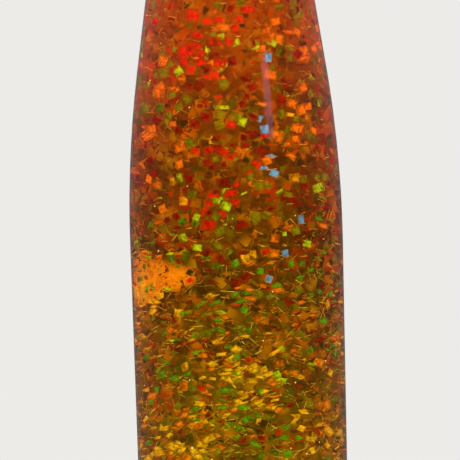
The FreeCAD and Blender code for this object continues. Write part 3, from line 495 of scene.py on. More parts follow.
pinch = (outer + PINCHED_FLARE) / (outer + CROWN_FLARE)
bpy.ops.transform.resize(value=(pinch, pinch, 1.0), center_override=(0, 0, low.z))
bpy.ops.object.mode_set(mode="OBJECT")
bpy.ops.object.shade_smooth_by_angle(angle=SMOOTH_ANGLE)
crown.data.materials.append(metals["tinplate"].material)
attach(crown, "bottle")
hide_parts("crown_cap")
print("the crown cap has", len(crown.data.polygons), "faces")

# %% [markdown]
# The glass looks orange at the top and a yellow brown lower down, with a bright thin band along each side. Coloured
# glass takes more light the longer its path, so the colour is an absorption inside the wall: faint through the front,
# and deep at the sides. The slow change by height is in the glass's own colour.

# %% Tinted glass
glass_low, glass_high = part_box("glass_bottle")
TINT = [
    (0.0, (0.6, 0.86, 0.6)),
    (0.3, (0.68, 0.84, 0.6)),
    (0.66, (0.92, 0.78, 0.6)),
    (1.0, (0.98, 0.76, 0.6)),
]
WALL_COLOUR, WALL_DEPTH = (0.917, 0.5, 0.04), 700.0
MIRROR = (0.17, 0.13, 0.18)
TINT_WAVER = 0.06
RIPPLE_SCALE, RIPPLE_DEPTH = 16.0, 0.0006
glass_paint = Paint("tinted_glass", {"Transmission Weight": 1.0, "IOR": 1.5, "Specular Tint": MIRROR})
glass_height = (glass_paint.axes()[2] - glass_low.z) / (glass_high.z - glass_low.z)
waver = glass_paint.noise(22.0, 2.0)
glass_paint.set("Base Color", glass_paint.toned(glass_height + (waver - 0.5) * TINT_WAVER, TINT))
glass_paint.set("Roughness", 0.004 + glass_paint.noise(300.0, 2.0) * 0.012)
glass_paint.bump(glass_paint.noise(RIPPLE_SCALE, 1.0), 0.06, RIPPLE_DEPTH)
glass_paint.absorb(WALL_COLOUR, WALL_DEPTH)
finish_node("glass_bottle", glass_paint)
print("the glass is tinted from", round(glass_low.z, 4), "to", round(glass_high.z, 4), "m")

# %% [markdown]
# The liquid fills the bottle right up to the glass. A thin gap of air would trap the rays at the sides, and the flakes
# would seem to end before the rim. So the liquid is a copy of the CAD solid that reaches a tenth of a millimetre into
# the glass. It takes the blue out of the light, and what floats deeper looks warmer.

# %% Liquid
LIQUID_OVERLAP = 0.0001
FLAKE_CLEARANCE = 0.0002
LIQUID_BEND = 1.36
LIQUID_COLOUR, LIQUID_DEPTH = (1.0, 0.94, 0.3), 150.0
SAME_POINT, SAME_LEVEL = 0.000002, 0.00002
COPY_SMOOTH_ANGLE = math.radians(35)

liquid = bpy.data.objects.new("liquid_fill", nodes["liquid"].data.copy())
bpy.context.scene.collection.objects.link(liquid)
bpy.ops.object.select_all(action="DESELECT")
liquid.select_set(True)
bpy.context.view_layer.objects.active = liquid
bpy.ops.object.mode_set(mode="EDIT")
bpy.ops.mesh.select_all(action="SELECT")
bpy.ops.mesh.remove_doubles(threshold=SAME_POINT)
bpy.ops.mesh.normals_make_consistent(inside=False)
bpy.ops.transform.shrink_fatten(value=LIQUID_OVERLAP)
bpy.ops.object.mode_set(mode="OBJECT")
bpy.ops.mesh.customdata_custom_splitnormals_clear()
bpy.ops.object.shade_smooth_by_angle(angle=COPY_SMOOTH_ANGLE)
liquid_paint = Paint("amber_liquid", {"Transmission Weight": 1.0, "IOR": LIQUID_BEND, "Roughness": 0.0,
                                      "Base Color": (1.0, 1.0, 1.0), "Specular Tint": (0.2, 0.16, 0.12)})
liquid_paint.absorb(LIQUID_COLOUR, LIQUID_DEPTH)
liquid.data.materials.clear()
liquid.data.materials.append(liquid_paint.material)
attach(liquid, "bottle")
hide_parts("liquid")
print("the liquid has", len(liquid.data.polygons), "faces")

# %% [markdown]
# The flakes must stay inside the bottle, so its inner width is measured at every height: the points of the liquid lie
# in level rings, and the widest point of each ring gives the width there.

# %% Inner width of the bottle
spots = np.array([vertex.co for vertex in liquid.data.vertices])
levels = np.unique(spots[:, 2].round(5))
widths = np.array([np.hypot(*spots[abs(spots[:, 2] - level) < SAME_LEVEL][:, :2].T).max() for level in levels])
widths -= LIQUID_OVERLAP + FLAKE_CLEARANCE
print("liquid from", round(levels[0], 4), "to", round(levels[-1], 4), "and at most", round(widths.max(), 4), "round")

# %% [markdown]
# Behind the first centimetre the flakes hide each other, and the eye sees a warm haze with soft patches of red, olive
# and orange. A flake that takes its colour from its place melts into its neighbours, and a few thousand of them make
# this haze. Colours are written as on the screen. A helper makes them linear and allows for the glass in front.

# %% Colours of the haze
FRONT_PASS = (0.68, 0.37, 0.13)
LIT = 3.2


def looks(red, green, blue):
    """The lamp-lit colour that looks like this through the glass, given as on a screen, 0 to 255."""
    linear = [(part / 255 / 12.92) if part < 11 else ((part / 255 + 0.055) / 1.055) ** 2.4
              for part in (red, green, blue)]
    return tuple(min(part / passed / LIT, 1.0) for part, passed in zip(linear, FRONT_PASS))


# how high in the bottle, a dark and a light tone of the painted glow
HAZE = [
    (0.0, (66, 40, 0), (160, 106, 0)), (0.2, (62, 36, 0), (138, 88, 0)), (0.36, (48, 26, 0), (118, 70, 0)),
    (0.62, (82, 38, 0), (138, 70, 0)), (0.85, (138, 58, 0), (186, 84, 0)), (1.0, (150, 62, 0), (205, 100, 0)),
]
HAZE_DARK = [(height, looks(*dark)) for height, dark, light in HAZE]
HAZE_LIGHT = [(height, looks(*light)) for height, dark, light in HAZE]
BLOTS = [(stop, looks(*tone)) for stop, tone in [
    (0.0, (96, 8, 0)), (0.1, (150, 16, 0)), (0.22, (176, 50, 0)), (0.36, (198, 94, 0)),
    (0.54, (190, 118, 0)), (0.64, (118, 102, 0)), (0.76, (84, 92, 0)), (0.9, (60, 34, 0)),
]]
print("an orange flake has the colour", [round(value, 2) for value in looks(220, 110, 0)])

# %% [markdown]
# The haze is painted light that the flakes give off themselves, in three layers: streaky clouds, darker or lighter by
# height, blots that stand for single soft flakes, and at the left of the front a fan of light that narrows to the
# right. All are read from a point's place alone, so they fit both the deep flakes and the faded edges of the others.

# %% Haze of the liquid
STREAK_SCALE, STREAK_FLATNESS = 170.0, 5.0
CLOUD_SCALES = (46.0, 240.0)
BLOT_KINDS = ((112.0, 0.85), (185.0, 0.7))  # how fine the blots are, and how strongly they cover
BLOT_RADIUS, BLOT_BLEND = 0.42, 0.46
BLOTLESS, BLOTLESS_BLEND = 0.42, 0.2  # the share of the cells that stays without a blot
FAN_LOW, FAN_HIGH = 0.19, 0.183
FAN_LOW_RISE, FAN_HIGH_FALL = 0.45, 0.3
FAN_RIGHT, FAN_DEPTH = -0.014, 0.01
FAN_BLENDS = (0.004, 0.005, 0.006, 0.01)  # how soft it is below, above, at its right and at its back
FAN_STREAKS, FAN_EVEN = 0.7, 0.55
FAN_COLOUR = looks(262, 146, 4)


def haze(paint):
    """The colour of the haze's painted glow at a point."""
    x, y, z = paint.axes()
    height = (z - levels[0]) / (levels[-1] - levels[0])
    level = paint.node("ShaderNodeCombineXYZ", {}, {"X": x, "Y": y, "Z": z * STREAK_FLATNESS})
    streak = paint.noise(STREAK_SCALE, 3.0, 0.6, level)
    coarse, fine = paint.noise(CLOUD_SCALES[0], 3.0, 0.55), paint.noise(CLOUD_SCALES[1], 2.0, 0.6)
    cloud = (coarse * 0.45 + fine * 0.3 + streak * 0.25).over(0.5, 0.3)
    ground = paint.mix(cloud, paint.toned(height, HAZE_DARK), paint.toned(height, HAZE_LIGHT))
    for scale, most in BLOT_KINDS:
        nearness, cell = paint.node("ShaderNodeTexVoronoi", {}, {"Vector": paint.place, "Scale": scale}).parts()[:2]
        colour, share = paint.node("ShaderNodeSeparateColor", {}, {"Color": cell}).parts()[:2]
        blot = (1.0 - nearness.over(BLOT_RADIUS, BLOT_BLEND)) * share.over(BLOTLESS, BLOTLESS_BLEND) * most
        ground = paint.mix(blot, ground, paint.toned(colour, BLOTS))
    below, above, right, behind = FAN_BLENDS
    fan = (z - x * FAN_LOW_RISE).over(FAN_LOW, below)
    fan *= 1.0 - (z + x * FAN_HIGH_FALL).over(FAN_HIGH, above)
    fan *= 1.0 - x.over(FAN_RIGHT, right)
    fan *= 1.0 - y.over(FAN_DEPTH, behind)
    return paint.mix(fan * (streak * FAN_STREAKS + FAN_EVEN), ground, FAN_COLOUR)


# %% [markdown]
# Each flake is a square cut from a thin film, a little curled, so that it catches the light on one side before the
# other. One pattern is modelled by hand as a small grid that is bent and given a thickness, and the flakes near the
# glass are its copies.

# %% One flake
FLAKE_SIDE = 0.0032
FLAKE_CURL, CURLED_FROM = 0.05, 0.25  # parts of the side
FLAKE_THICKNESS = 0.02


def taken_apart(pattern):
    """The points and faces of a pattern, which leaves the scene."""
    points = np.array([vertex.co for vertex in pattern.data.vertices])
    faces = np.array([face.vertices for face in pattern.data.polygons])
    bpy.data.objects.remove(pattern)
    return points, faces


bpy.ops.object.select_all(action="DESELECT")
bpy.ops.mesh.primitive_grid_add(x_subdivisions=2, y_subdivisions=2, size=1.0, location=(0, 0, 0))
flake = bpy.context.object
for vertex in flake.data.vertices:
    vertex.select = abs(vertex.co.x) > CURLED_FROM
bpy.ops.object.mode_set(mode="EDIT")
bpy.ops.transform.translate(value=(0, 0, FLAKE_CURL))
bpy.ops.mesh.select_all(action="SELECT")
bpy.ops.mesh.solidify(thickness=FLAKE_THICKNESS)
bpy.ops.mesh.normals_make_consistent(inside=False)
bpy.ops.object.mode_set(mode="OBJECT")
flake_points, flake_faces = taken_apart(flake)
print("one flake has", len(flake_faces), "faces")

# %% [markdown]
# Hair-thin slivers, small specks and the deepest flakes show no curl, and there are thousands of them. For these a cube
# pressed flat is enough, with six faces instead of the sixteen of a curled flake.

# %% One plate
bpy.ops.object.select_all(action="DESELECT")
bpy.ops.mesh.primitive_cube_add(size=1.0, location=(0, 0, 0))
plate = bpy.context.object
plate.scale = (1.0, 1.0, FLAKE_THICKNESS)
bpy.ops.object.transform_apply(location=False, rotation=False, scale=True)
plate_points, plate_faces = taken_apart(plate)
print("one plate has", len(plate_faces), "faces")

# %% [markdown]
# All flakes of one colour are one mesh, because thousands of separate objects would be slow to handle. Every flake
# carries its own tone, which sets how bright its painted glow is, and each of its points tells where it is on the
# flake, so that the material can fade a deep flake out towards its edge, as the eye does with what it can't focus on.

# %% A cloud of flakes
def flake_cloud(name, places, paint, corners=flake_points, sides=flake_faces):
    """One mesh of flakes. Each place is a spot, a direction, a spin, a width, a length, a tone and a softness."""
    count, each = len(places), len(corners)
    points = np.empty((count, each, 3))
    marks = np.empty((count, each, 3))
    tones = np.empty((count, each))
    for index, (spot, normal, spin, wide, tall, tone, softness) in enumerate(places):
        turn = Vector(normal).to_track_quat("Z", "Y") @ Quaternion((0, 0, 1), spin)
        scaled = corners * np.array((wide, tall, min(wide, tall)))
        points[index] = scaled @ np.array(turn.to_matrix()).T + np.array(spot)
        marks[index] = corners * 2.0
        marks[index, :, 2] = softness
        tones[index] = tone
    steps = (np.arange(count) * each)[:, None, None]
    faces = (sides[None] + steps).reshape(-1, sides.shape[1])
    mesh = bpy.data.meshes.new(name)
    mesh.from_pydata(points.reshape(-1, 3).tolist(), [], faces.tolist())
    mesh.attributes.new("tone", "FLOAT", "POINT").data.foreach_set("value", tones.ravel())
    mesh.attributes.new("film", "FLOAT_VECTOR", "POINT").data.foreach_set("vector", marks.ravel())
    made = bpy.data.objects.new(name, mesh)
    bpy.context.scene.collection.objects.link(made)
    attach(made, "bottle")
    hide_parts("glitter_flakes")
    made.data.materials.append(paint.material)
    print(name, "has", count, "flakes")


# %% [markdown]
# Metallised film shimmers, and here that shimmer is painted light: the colour runs from dull to bright across the
# flake, with fine painted sparks and one side brighter than the other. The edge of a deep flake frays and fades into
# the haze. To follow the bulb's light through the liquid would take too many light paths, so the film gives off its
# light by itself, as painted light.

# %% Glitter film
RAG_SCALE, RAG_REACH = 900.0, 1.2
# scales of the painted shimmer and of the painted sparks on the film
PAINTED_SHIMMER_SCALE, PAINTED_SPARK_SCALE = 620.0, 1500.0
CRISP_EDGE, SOFT_EDGE = 0.06, 0.62
UNLIT_SHARE, UNLIT = 0.8, (0.03, 0.015, 0.0)


def film(name, dull, bright, strength=LIT):
    """Glitter film that gives off painted light: a tone for each flake, a painted shimmer across it and a fading edge.
    """
    paint = Paint(name, {"Metallic": 0.3, "Specular IOR Level": 0.2, "Emission Strength": strength})
    # the tone sets how bright this flake's painted glow is
    tone = paint.node("ShaderNodeAttribute", {"attribute_name": "tone"}, output="Fac")
    film_place = paint.node("ShaderNodeAttribute", {"attribute_name": "film"}, output="Vector")
    over, along, softness = paint.axes(film_place)
    ragged = (paint.noise(RAG_SCALE, 2.0, 0.6) - 0.5) * softness * RAG_REACH
    reach = over.size().most(along.size()) + ragged
    whole = paint.node("ShaderNodeMath", {"operation": "DIVIDE", "use_clamp": True},
                       {0: 1.08 - softness * 0.04 - reach, 1: softness * SOFT_EDGE + CRISP_EDGE})
    painted_shimmer_and_roughness = paint.noise(PAINTED_SHIMMER_SCALE, 2.0, 0.6).over(0.5, 0.22)
    painted_spark = paint.noise(PAINTED_SPARK_SCALE, 2.0, 0.5).over(0.62, 0.16)
    # painted highlight: the glow is brighter with the tone, the painted shimmer and sparks, and on one side of the
    # flake, and a little darker towards its edge
    glow = tone * 0.6 + painted_shimmer_and_roughness * 0.5 + over * 0.25 + painted_spark * 0.4 - reach * 0.1 - 0.1
    colour = paint.mix(glow, looks(*dull), looks(*bright))
    shown = paint.mix(whole, haze(paint), colour)
    paint.set("Emission Color", shown)
    paint.set("Base Color", paint.mix(UNLIT_SHARE, shown, UNLIT))
    paint.set("Roughness", 0.22 + painted_shimmer_and_roughness * 0.2)
    return paint


# %% [markdown]
# In the upper half the flakes stand face on behind the glass, and in the lower half most lie almost flat or edge on, as
# the warm stream carries them. The bottle's inside is measured from the liquid, so each flake stays clear of the glass.

# %% How the flakes stand
STREAM_TOP = 0.196
STREAM_BLEND = 0.05
UPRIGHT_LEAN, UPRIGHT_SWING = 0.35, 0.45  # radians
LYING_LEAN, LYING_SWING = (10, 46), 0.9  # degrees, radians
HALF_DIAGONAL = 0.75  # of a square's side, with a little to spare


def around(reach, way, height):
    """The point this far from the axis, in this direction and at this height."""
    return reach * math.cos(way), reach * math.sin(way), height


def room_at(height, reach):
    """How far from the axis the middle of a flake with this reach may be at a height."""
    below = np.interp(height - reach, levels, widths)
    above = np.interp(height + reach, levels, widths)
    return min(below, above) - reach


def upright(dice, way):
    """Face on: the flake looks outwards from the axis, give or take."""
    lean, swing = dice.normal(0.0, UPRIGHT_LEAN), way + dice.normal(0.0, UPRIGHT_SWING)
    return around(math.cos(lean), swing, math.sin(lean))


def lying(dice, way):
    """Flat in the stream: the flake looks up, and is tipped towards the glass."""
    lean, swing = math.radians(dice.uniform(*LYING_LEAN)), way + dice.normal(0.0, LYING_SWING)
    return around(math.sin(lean), swing, math.cos(lean))


def above_stream(height):
    """0 in the lower half, 1 in the upper half, and a soft change between them."""
    return min(max((height - STREAM_TOP) / STREAM_BLEND + 0.5, 0.0), 1.0)


print("flakes lie below", STREAM_TOP - STREAM_BLEND / 2, "and stand above", STREAM_TOP + STREAM_BLEND / 2)

# %% [markdown]
# Chance alone spreads flakes too evenly. Real ones gather, so the places are drawn around seeded swarms: each colour
# has some of its own, and flakes that keep to themselves. The front gets fewer of the bright ones, because a later step
# lists those one by one.

# %% Flakes by colour
# dull and bright tone as on a screen, how many, the share of them in the upper half, and how soft they are
KINDS = {
    "umber": ((58, 32, 0), (92, 50, 0), 420, 0.45, 0.9),
    "amber": ((132, 66, 0), (186, 96, 0), 520, 0.55, 0.9),
    "orange": ((150, 62, 0), (264, 126, 4), 300, 0.45, 0.7),
    "gold": ((150, 84, 0), (274, 184, 14), 300, 0.12, 0.6),
    "red": ((150, 16, 0), (236, 30, 0), 90, 0.74, 0.9),
    "dark_red": ((90, 6, 0), (150, 14, 0), 190, 0.72, 0.9),
    "olive": ((92, 76, 0), (140, 128, 0), 330, 0.5, 0.8),
    "green": ((66, 60, 0), (92, 156, 6), 190, 0.26, 0.7),
    "yellow_green": ((96, 84, 0), (200, 216, 10), 100, 0.5, 0.5),
    "blue": ((66, 78, 84), (86, 138, 176), 0, 0.5, 0.6),
}
CHANCE_SEED = 21
END_MARGIN = 0.004
lowest, highest = levels[0] + END_MARGIN, levels[-1] - END_MARGIN
FLAKES_PER_SWARM, FEWEST_SWARMS = 9, 4
SWARM_TURN, SWARM_RISE = 0.011 / 0.034, 0.011 * 0.7  # radians round the axis, metres of height
ALONE = 0.45
PALE_KINDS = ("orange", "gold", "red", "green", "yellow_green")
FRONT_FROM, SHARE_IN_FRONT = -0.35, 0.4
CLEAR_DEPTH, DEPTH_CURVE, DEEP_GROWTH = 0.0085, 1.3, 0.35
STANDING_BELOW, STANDING_MORE = 0.1, 0.8
CHANCE_TONES = (1.1, 1.6)


def scatter(kind, count, upper_share, softness, dice):
    """Seeded places for one colour, most of them in swarms."""
    def level():
        part = (STREAM_TOP, highest) if dice.uniform() < upper_share else (lowest, STREAM_TOP)
        return dice.uniform(*part)

    swarms = []
    for _ in range(max(count // FLAKES_PER_SWARM, FEWEST_SWARMS)):
        height = level()
        swarms.append((dice.uniform(0.0, 2 * math.pi), height))
    places = []
    while len(places) < count:
        way, height = swarms[dice.integers(len(swarms))]
        if dice.uniform() < ALONE:
            way, height = dice.uniform(0.0, 2 * math.pi), level()
        else:
            way += dice.normal(0.0, SWARM_TURN)
            height += dice.normal(0.0, SWARM_RISE)
        if not lowest < height < highest:
            continue
        if kind in PALE_KINDS and math.sin(way) < FRONT_FROM and dice.uniform() > SHARE_IN_FRONT:
            continue
        depth = dice.uniform() ** DEPTH_CURVE
        size = FLAKE_SIDE * (1.0 + DEEP_GROWTH * depth * dice.uniform())
        reach = room_at(height, size * HALF_DIAGONAL) - depth * CLEAR_DEPTH
        pose = upright if dice.uniform() < STANDING_BELOW + STANDING_MORE * above_stream(height) else lying
        places.append((around(reach, way, height), pose(dice, way), dice.uniform(0.0, math.pi), size, size,
                       dice.beta(*CHANCE_TONES), softness * (0.5 + 0.5 * math.sqrt(depth))))
    return places


clouds = {}
for index, (kind, (dull, bright, count, upper_share, softness)) in enumerate(KINDS.items()):
    clouds[kind] = scatter(kind, count, upper_share, softness, np.random.default_rng(CHANCE_SEED + index))
print(sum(len(places) for places in clouds.values()), "flakes by chance")

# %% [markdown]
# The deep flakes fill the whole bottle and give off the haze's own colour as painted light, so they need no tone and no
# soft edge. They are plain plates, because nobody can see one of them alone.

# %% Haze of deep flakes
HAZE_COUNT, HAZE_SEED = 6000, 91
HAZE_SIDE = 0.0036
HAZE_MARGIN = 0.003
HAZE_UNLIT_SHARE, HAZE_UNLIT = 0.96, (0.01, 0.005, 0.0)


def deep_places(count, dice):
    places = []
    while len(places) < count:
        height = dice.uniform(levels[0] + HAZE_MARGIN, levels[-1] - HAZE_MARGIN)
        spot = dice.uniform(-widths.max(), widths.max(), 2)
        room = room_at(height, HAZE_SIDE * HALF_DIAGONAL) - HAZE_MARGIN
        if math.hypot(*spot) < room:
            normal = upright(dice, math.atan2(spot[1], spot[0]))
            places.append(((*spot, height), normal, dice.uniform(0.0, math.pi), HAZE_SIDE, HAZE_SIDE, 0.5, 0.0))
    return places


haze_paint = Paint("film_haze", {"Roughness": 0.5, "Specular IOR Level": 0.05, "Emission Strength": LIT})
haze_colour = haze(haze_paint)
# painted light: the deep flakes give off the haze's colour
haze_paint.set("Emission Color", haze_colour)
haze_paint.set("Base Color", haze_paint.mix(HAZE_UNLIT_SHARE, haze_colour, HAZE_UNLIT))
deep = deep_places(HAZE_COUNT, np.random.default_rng(HAZE_SEED))
flake_cloud("glitter_haze", deep, haze_paint, plate_points, plate_faces)

# %% [markdown]
# Some flakes are what one remembers of the lamp: the bright squares and the red and golden groups at its front. They
# are listed one by one: how far each looks from the bottle's middle line and how high it is, with the width and height
# that it shows, all in millimetres.

# %% Flakes set one by one
BY_HAND = {
    "red": [
        (-13, 280, 8, 6), (-12, 273, 5, 4), (-16, 267, 8, 6), (-17, 263, 4, 4), (-1, 270, 5, 4), (3, 278, 4, 4),
        (-1, 240, 5, 4), (-9, 231, 5, 4), (-1, 228, 6, 4), (5, 222, 4, 3), (-11, 209, 4, 4), (-10, 204, 7, 5),
        (-2, 215, 6, 4), (10, 194, 4, 3), (-17, 184, 4, 3), (-1, 175, 4, 2), (3, 155, 3, 3), (-14, 145, 4, 3),
        (13, 128, 3, 3), (-1, 115, 3, 3), (6, 115, 3, 3),
    ],
    "dark_red": [
        (-7, 270, 5, 4), (0, 282, 4, 4), (-9, 260, 5, 5), (0, 263, 4, 4), (-12, 254, 6, 4), (-10, 243, 6, 5),
        (6, 236, 8, 4), (-8, 225, 5, 4), (2, 204, 7, 5), (-4, 211, 4, 4), (3, 185, 6, 4), (-1, 183, 4, 4),
        (-21, 191, 3, 3), (-6, 192, 3, 3), (7, 126, 5, 3),
    ],
    "orange": [
        (-3, 275, 8, 4), (-24, 264, 6, 5), (-12, 264, 4, 3), (-7, 262, 4, 4), (-26, 253, 6, 4), (-20, 253, 4, 2),
        (21, 247, 5, 4), (23, 238, 5, 5), (26, 242, 2, 2), (10, 247, 5, 2), (6, 219, 4, 4), (19, 232, 5, 2),
        (20, 228, 5, 3), (31, 202, 6, 2), (25, 253, 4, 4), (26, 263, 8, 5), (16, 271, 7, 5), (21, 273, 6, 2),
        (-26, 210, 4, 4), (-28, 205, 6, 2), (-31, 236, 9, 5), (4, 190, 6, 2), (4, 180, 5, 2), (4, 177, 6, 2),
        (13, 193, 5, 4), (8, 169, 6, 4), (14, 153, 4, 3), (13, 136, 4, 2), (12, 141, 4, 1), (-20, 119, 4, 4),
        (-20, 135, 6, 2), (-34, 193, 8, 2), (-15, 132, 7, 4), (-10, 122, 5, 2), (-24, 184, 5, 3), (-28, 182, 7, 4),
        (30, 136, 6, 5), (-35, 184, 5, 7), (-36, 176, 5, 8),
    ],
    "gold": [
        (20, 243, 4, 2), (9, 219, 3, 2), (21, 220, 5, 4), (-10, 178, 6, 3), (-9, 161, 8, 2), (10, 164, 4, 1),
        (13, 157, 8, 2), (-2, 153, 5, 2), (8, 151, 4, 3), (10, 149, 6, 2), (4, 147, 5, 3), (-2, 149, 7, 2),
        (-3, 146, 4, 1), (14, 146, 5, 2), (3, 143, 4, 1), (8, 143, 5, 2), (6, 139, 6, 2), (28, 152, 6, 4),
        (32, 148, 3, 3), (28, 129, 6, 2), (31, 126, 7, 4), (-15, 139, 5, 3), (-12, 126, 6, 3), (-4, 131, 5, 2),
        (-21, 145, 5, 2), (-17, 121, 7, 4), (-30, 120, 7, 4), (-34, 117, 6, 3), (-25, 123, 7, 4), (-26, 127, 4, 2),
        (-36, 179, 4, 6), (-33, 179, 7, 5), (-31, 176, 7, 4), (-34, 182, 6, 4), (-30, 180, 6, 3),
    ],
    "yellow_green": [
        (-3, 261, 5, 3), (-19, 260, 4, 4), (-4, 246, 6, 2), (3, 241, 4, 4), (29, 216, 4, 4), (-14, 207, 3, 3),
        (-4, 204, 2, 1), (3, 215, 3, 1), (-14, 196, 4, 3), (25, 196, 4, 3), (17, 200, 2, 2), (13, 149, 3, 3),
        (-24, 162, 3, 1), (15, 117, 3, 2),
    ],
    "olive": [
        (-20, 268, 4, 3), (-31, 247, 4, 4), (-27, 285, 6, 4), (-27, 280, 5, 4), (36, 223, 4, 4), (32, 220, 4, 4),
        (31, 210, 2, 2), (-7, 207, 4, 4), (-5, 240, 4, 4), (-33, 189, 4, 3), (-11, 165, 3, 3), (21, 201, 4, 4),
    ],
    "green": [
        (-26, 247, 5, 4), (-1, 190, 4, 3), (8, 187, 3, 3), (2, 173, 3, 3), (-15, 174, 3, 2), (-20, 172, 2, 2),
        (-16, 164, 4, 2), (25, 157, 3, 3), (-19, 150, 4, 2), (1, 133, 3, 3), (14, 126, 6, 2), (16, 120, 4, 3),
        (-16, 137, 8, 2), (30, 167, 5, 4), (23, 189, 3, 3), (19, 189, 3, 3), (29, 178, 3, 2), (33, 177, 2, 3),
        (-30, 144, 3, 3), (-24, 148, 6, 3),
    ],
    # the blue flakes are a painted reflection of bluish light from outside, given off by the film
    "blue": [
        (11, 238, 4, 4), (13, 228, 5, 2), (10, 224, 4, 2), (14, 222, 4, 3), (23, 205, 3, 4), (13, 264, 3, 4),
        (9, 269, 3, 2), (9, 242, 3, 3), (17, 193, 3, 3), (11, 184, 3, 3),
    ],
}
print(sum(len(places) for places in BY_HAND.values()), "flakes set by hand")

# %% [markdown]
# Where flakes crowd together nobody tells them apart, so only the swarm is set: how far across and how high its middle
# is, its spread in both, in millimetres, and how many flakes it has.

# %% Swarms listed
SWARMS = {
    "red": [(-13, 268, 7, 8, 14), (-2, 274, 7, 5, 8), (-8, 207, 5, 4, 4), (-4, 228, 9, 7, 5)],
    "dark_red": [(-6, 246, 12, 12, 16), (0, 226, 12, 12, 16), (0, 186, 12, 7, 10), (5, 130, 12, 8, 6)],
    "orange": [(22, 268, 7, 6, 10), (-26, 240, 6, 12, 9), (22, 240, 6, 8, 8), (-29, 186, 6, 5, 26), (20, 180, 10, 8, 8),
               (0, 145, 20, 14, 16), (-18, 128, 12, 9, 14)],
    "gold": [(5, 148, 10, 5, 18), (-24, 121, 9, 5, 16), (27, 128, 7, 8, 10), (-10, 134, 9, 6, 10), (8, 136, 9, 5, 8),
             (-33, 179, 4, 4, 10), (-8, 160, 8, 3, 8)],
    "olive": [(-6, 252, 16, 16, 16), (8, 212, 16, 12, 14), (-24, 264, 6, 12, 8), (0, 160, 20, 10, 16)],
    "green": [(4, 132, 18, 12, 22), (-12, 168, 12, 8, 12), (18, 186, 10, 6, 8), (-24, 150, 8, 6, 6)],
    "yellow_green": [(-6, 256, 12, 10, 4), (-8, 206, 10, 5, 3), (6, 150, 12, 4, 5)],
}
print(sum(swarm[-1] for swarms in SWARMS.values() for swarm in swarms), "flakes in swarms")

# %% [markdown]
# The liquid bends the light, so a flake isn't where it seems to be. Its place is worked out for a ray that enters the
# round bottle and turns towards its middle. A flake that shows less height than width is taken to lie in the stream
# and is tipped until it shows just that; the others face the viewer.

# %% From what is seen to where it is
EDGE_SHARE, GUESS_SHARE = 0.98, 0.95  # of the inner width
NARROW = 0.7  # of the width: a flake that shows less height lies in the stream
FACE_SHARE, PLATE_SHARE, LONGER = 0.9, 0.85, 1.25
HALF_SPAN, HAND_CLEARANCE = 0.71, 0.001
WOBBLE, SPIN_SPREAD, SPIN_MOST = 0.12, 0.25, 0.5
ROLL = (-0.1, 0.32)
FRONT_PULL = 0.45  # how far a flake turns from the glass beside it towards the viewer
BIG_IS_SOFT, BIG_SOFTNESS = 0.0045, 1.3
SOFTEST_SMALL, SOFTEST = 1.1, 0.95
HAND_TONES = (2.2, 1.1)


def behind_glass(across, reach, width):
    """The direction, round the axis, of what looks this far across from the front at this distance from the axis."""
    front = math.asin(across / width)
    inside = math.asin(across / width / LIQUID_BEND)
    deeper = math.asin(max(min(across / reach / LIQUID_BEND, 1.0), -1.0))
    return front + deeper - inside - math.pi / 2


def by_hand(across, height, wide, tall, softness, dice):
    """A flake that shows this width and height to someone in front of the bottle."""
    across, height, wide, tall = (value / 1000 for value in (across, height, wide, tall))
    width = np.interp(height, levels, widths)
    within = min(max(across, -width * EDGE_SHARE), width * EDGE_SHARE)
    narrow = tall < wide * NARROW
    side = wide / math.sqrt(2) if narrow else max(wide, tall) * FACE_SHARE
    lean = math.asin(tall / wide) if narrow else math.pi / 2 + dice.normal(0.0, WOBBLE)
    guess = behind_glass(within, width * GUESS_SHARE, width)
    swing = (guess * (1 - FRONT_PULL) - math.pi / 2 * FRONT_PULL) + dice.normal(0.0, WOBBLE)
    aside = max(abs(math.sin(swing - guess)) * math.sin(lean), math.cos(lean))
    reach = width - HAND_CLEARANCE - side * HALF_SPAN * aside
    way = behind_glass(within, reach, width)
    normal = around(math.sin(lean), swing, math.cos(lean))
    if narrow:
        cornered = dice.uniform() < 0.5
        size = (side, side) if cornered else (side * LONGER, side)
        spin = math.pi / 4 if cornered else dice.normal(0.0, SPIN_SPREAD)
        roll = Quaternion((0, 1, 0), dice.normal(*ROLL))
        turn = roll @ Vector(normal).to_track_quat("Z", "Y") @ Quaternion((0, 0, 1), spin)
        normal = turn @ Vector((0, 0, 1))
        level = normal.to_track_quat("Z", "Y")
        edge = turn @ Vector((1, 0, 0))
        spin = math.atan2(edge.dot(level @ Vector((0, 1, 0))), edge.dot(level @ Vector((1, 0, 0))))
    else:
        size, spin = (wide * PLATE_SHARE, tall * PLATE_SHARE), dice.uniform(-SPIN_MOST, SPIN_MOST)
    fade = softness * (BIG_SOFTNESS if wide > BIG_IS_SOFT else dice.uniform(softness, SOFTEST_SMALL))
    return (around(reach, way, height), tuple(normal), spin, *size, dice.beta(*HAND_TONES), min(fade, SOFTEST))


print("4 mm across at the front is", round(math.degrees(behind_glass(0.004, 0.035, 0.036)) + 90, 1), "degrees round")

# %% [markdown]
# Each colour has its flakes by chance, listed one by one and in swarms, and they become one cloud. High up a swarm's
# flakes stand nearly face on, and lower down they show only a part of their height. The blue flakes are a painted
# reflection of bluish light from outside; blue looks faint through orange glass, so the blue film gives more light.

# %% Flakes in the bottle
HAND_SEED = 61
SWARM_EDGE = 36.0  # millimetres from the middle line
FACE_ON_ABOVE = 200  # millimetres
FACE_ON, LYING_FLAT = (0.6, 1.0), (0.26, 0.7)
SWARM_WIDTH, WIDER_BY, WIDER_CHANCE = (2.6, 4.6), 2.6, (1.0, 2.5)
# the blue flakes' painted reflection gives off more light
BLUE_LIT = LIT * 1.6

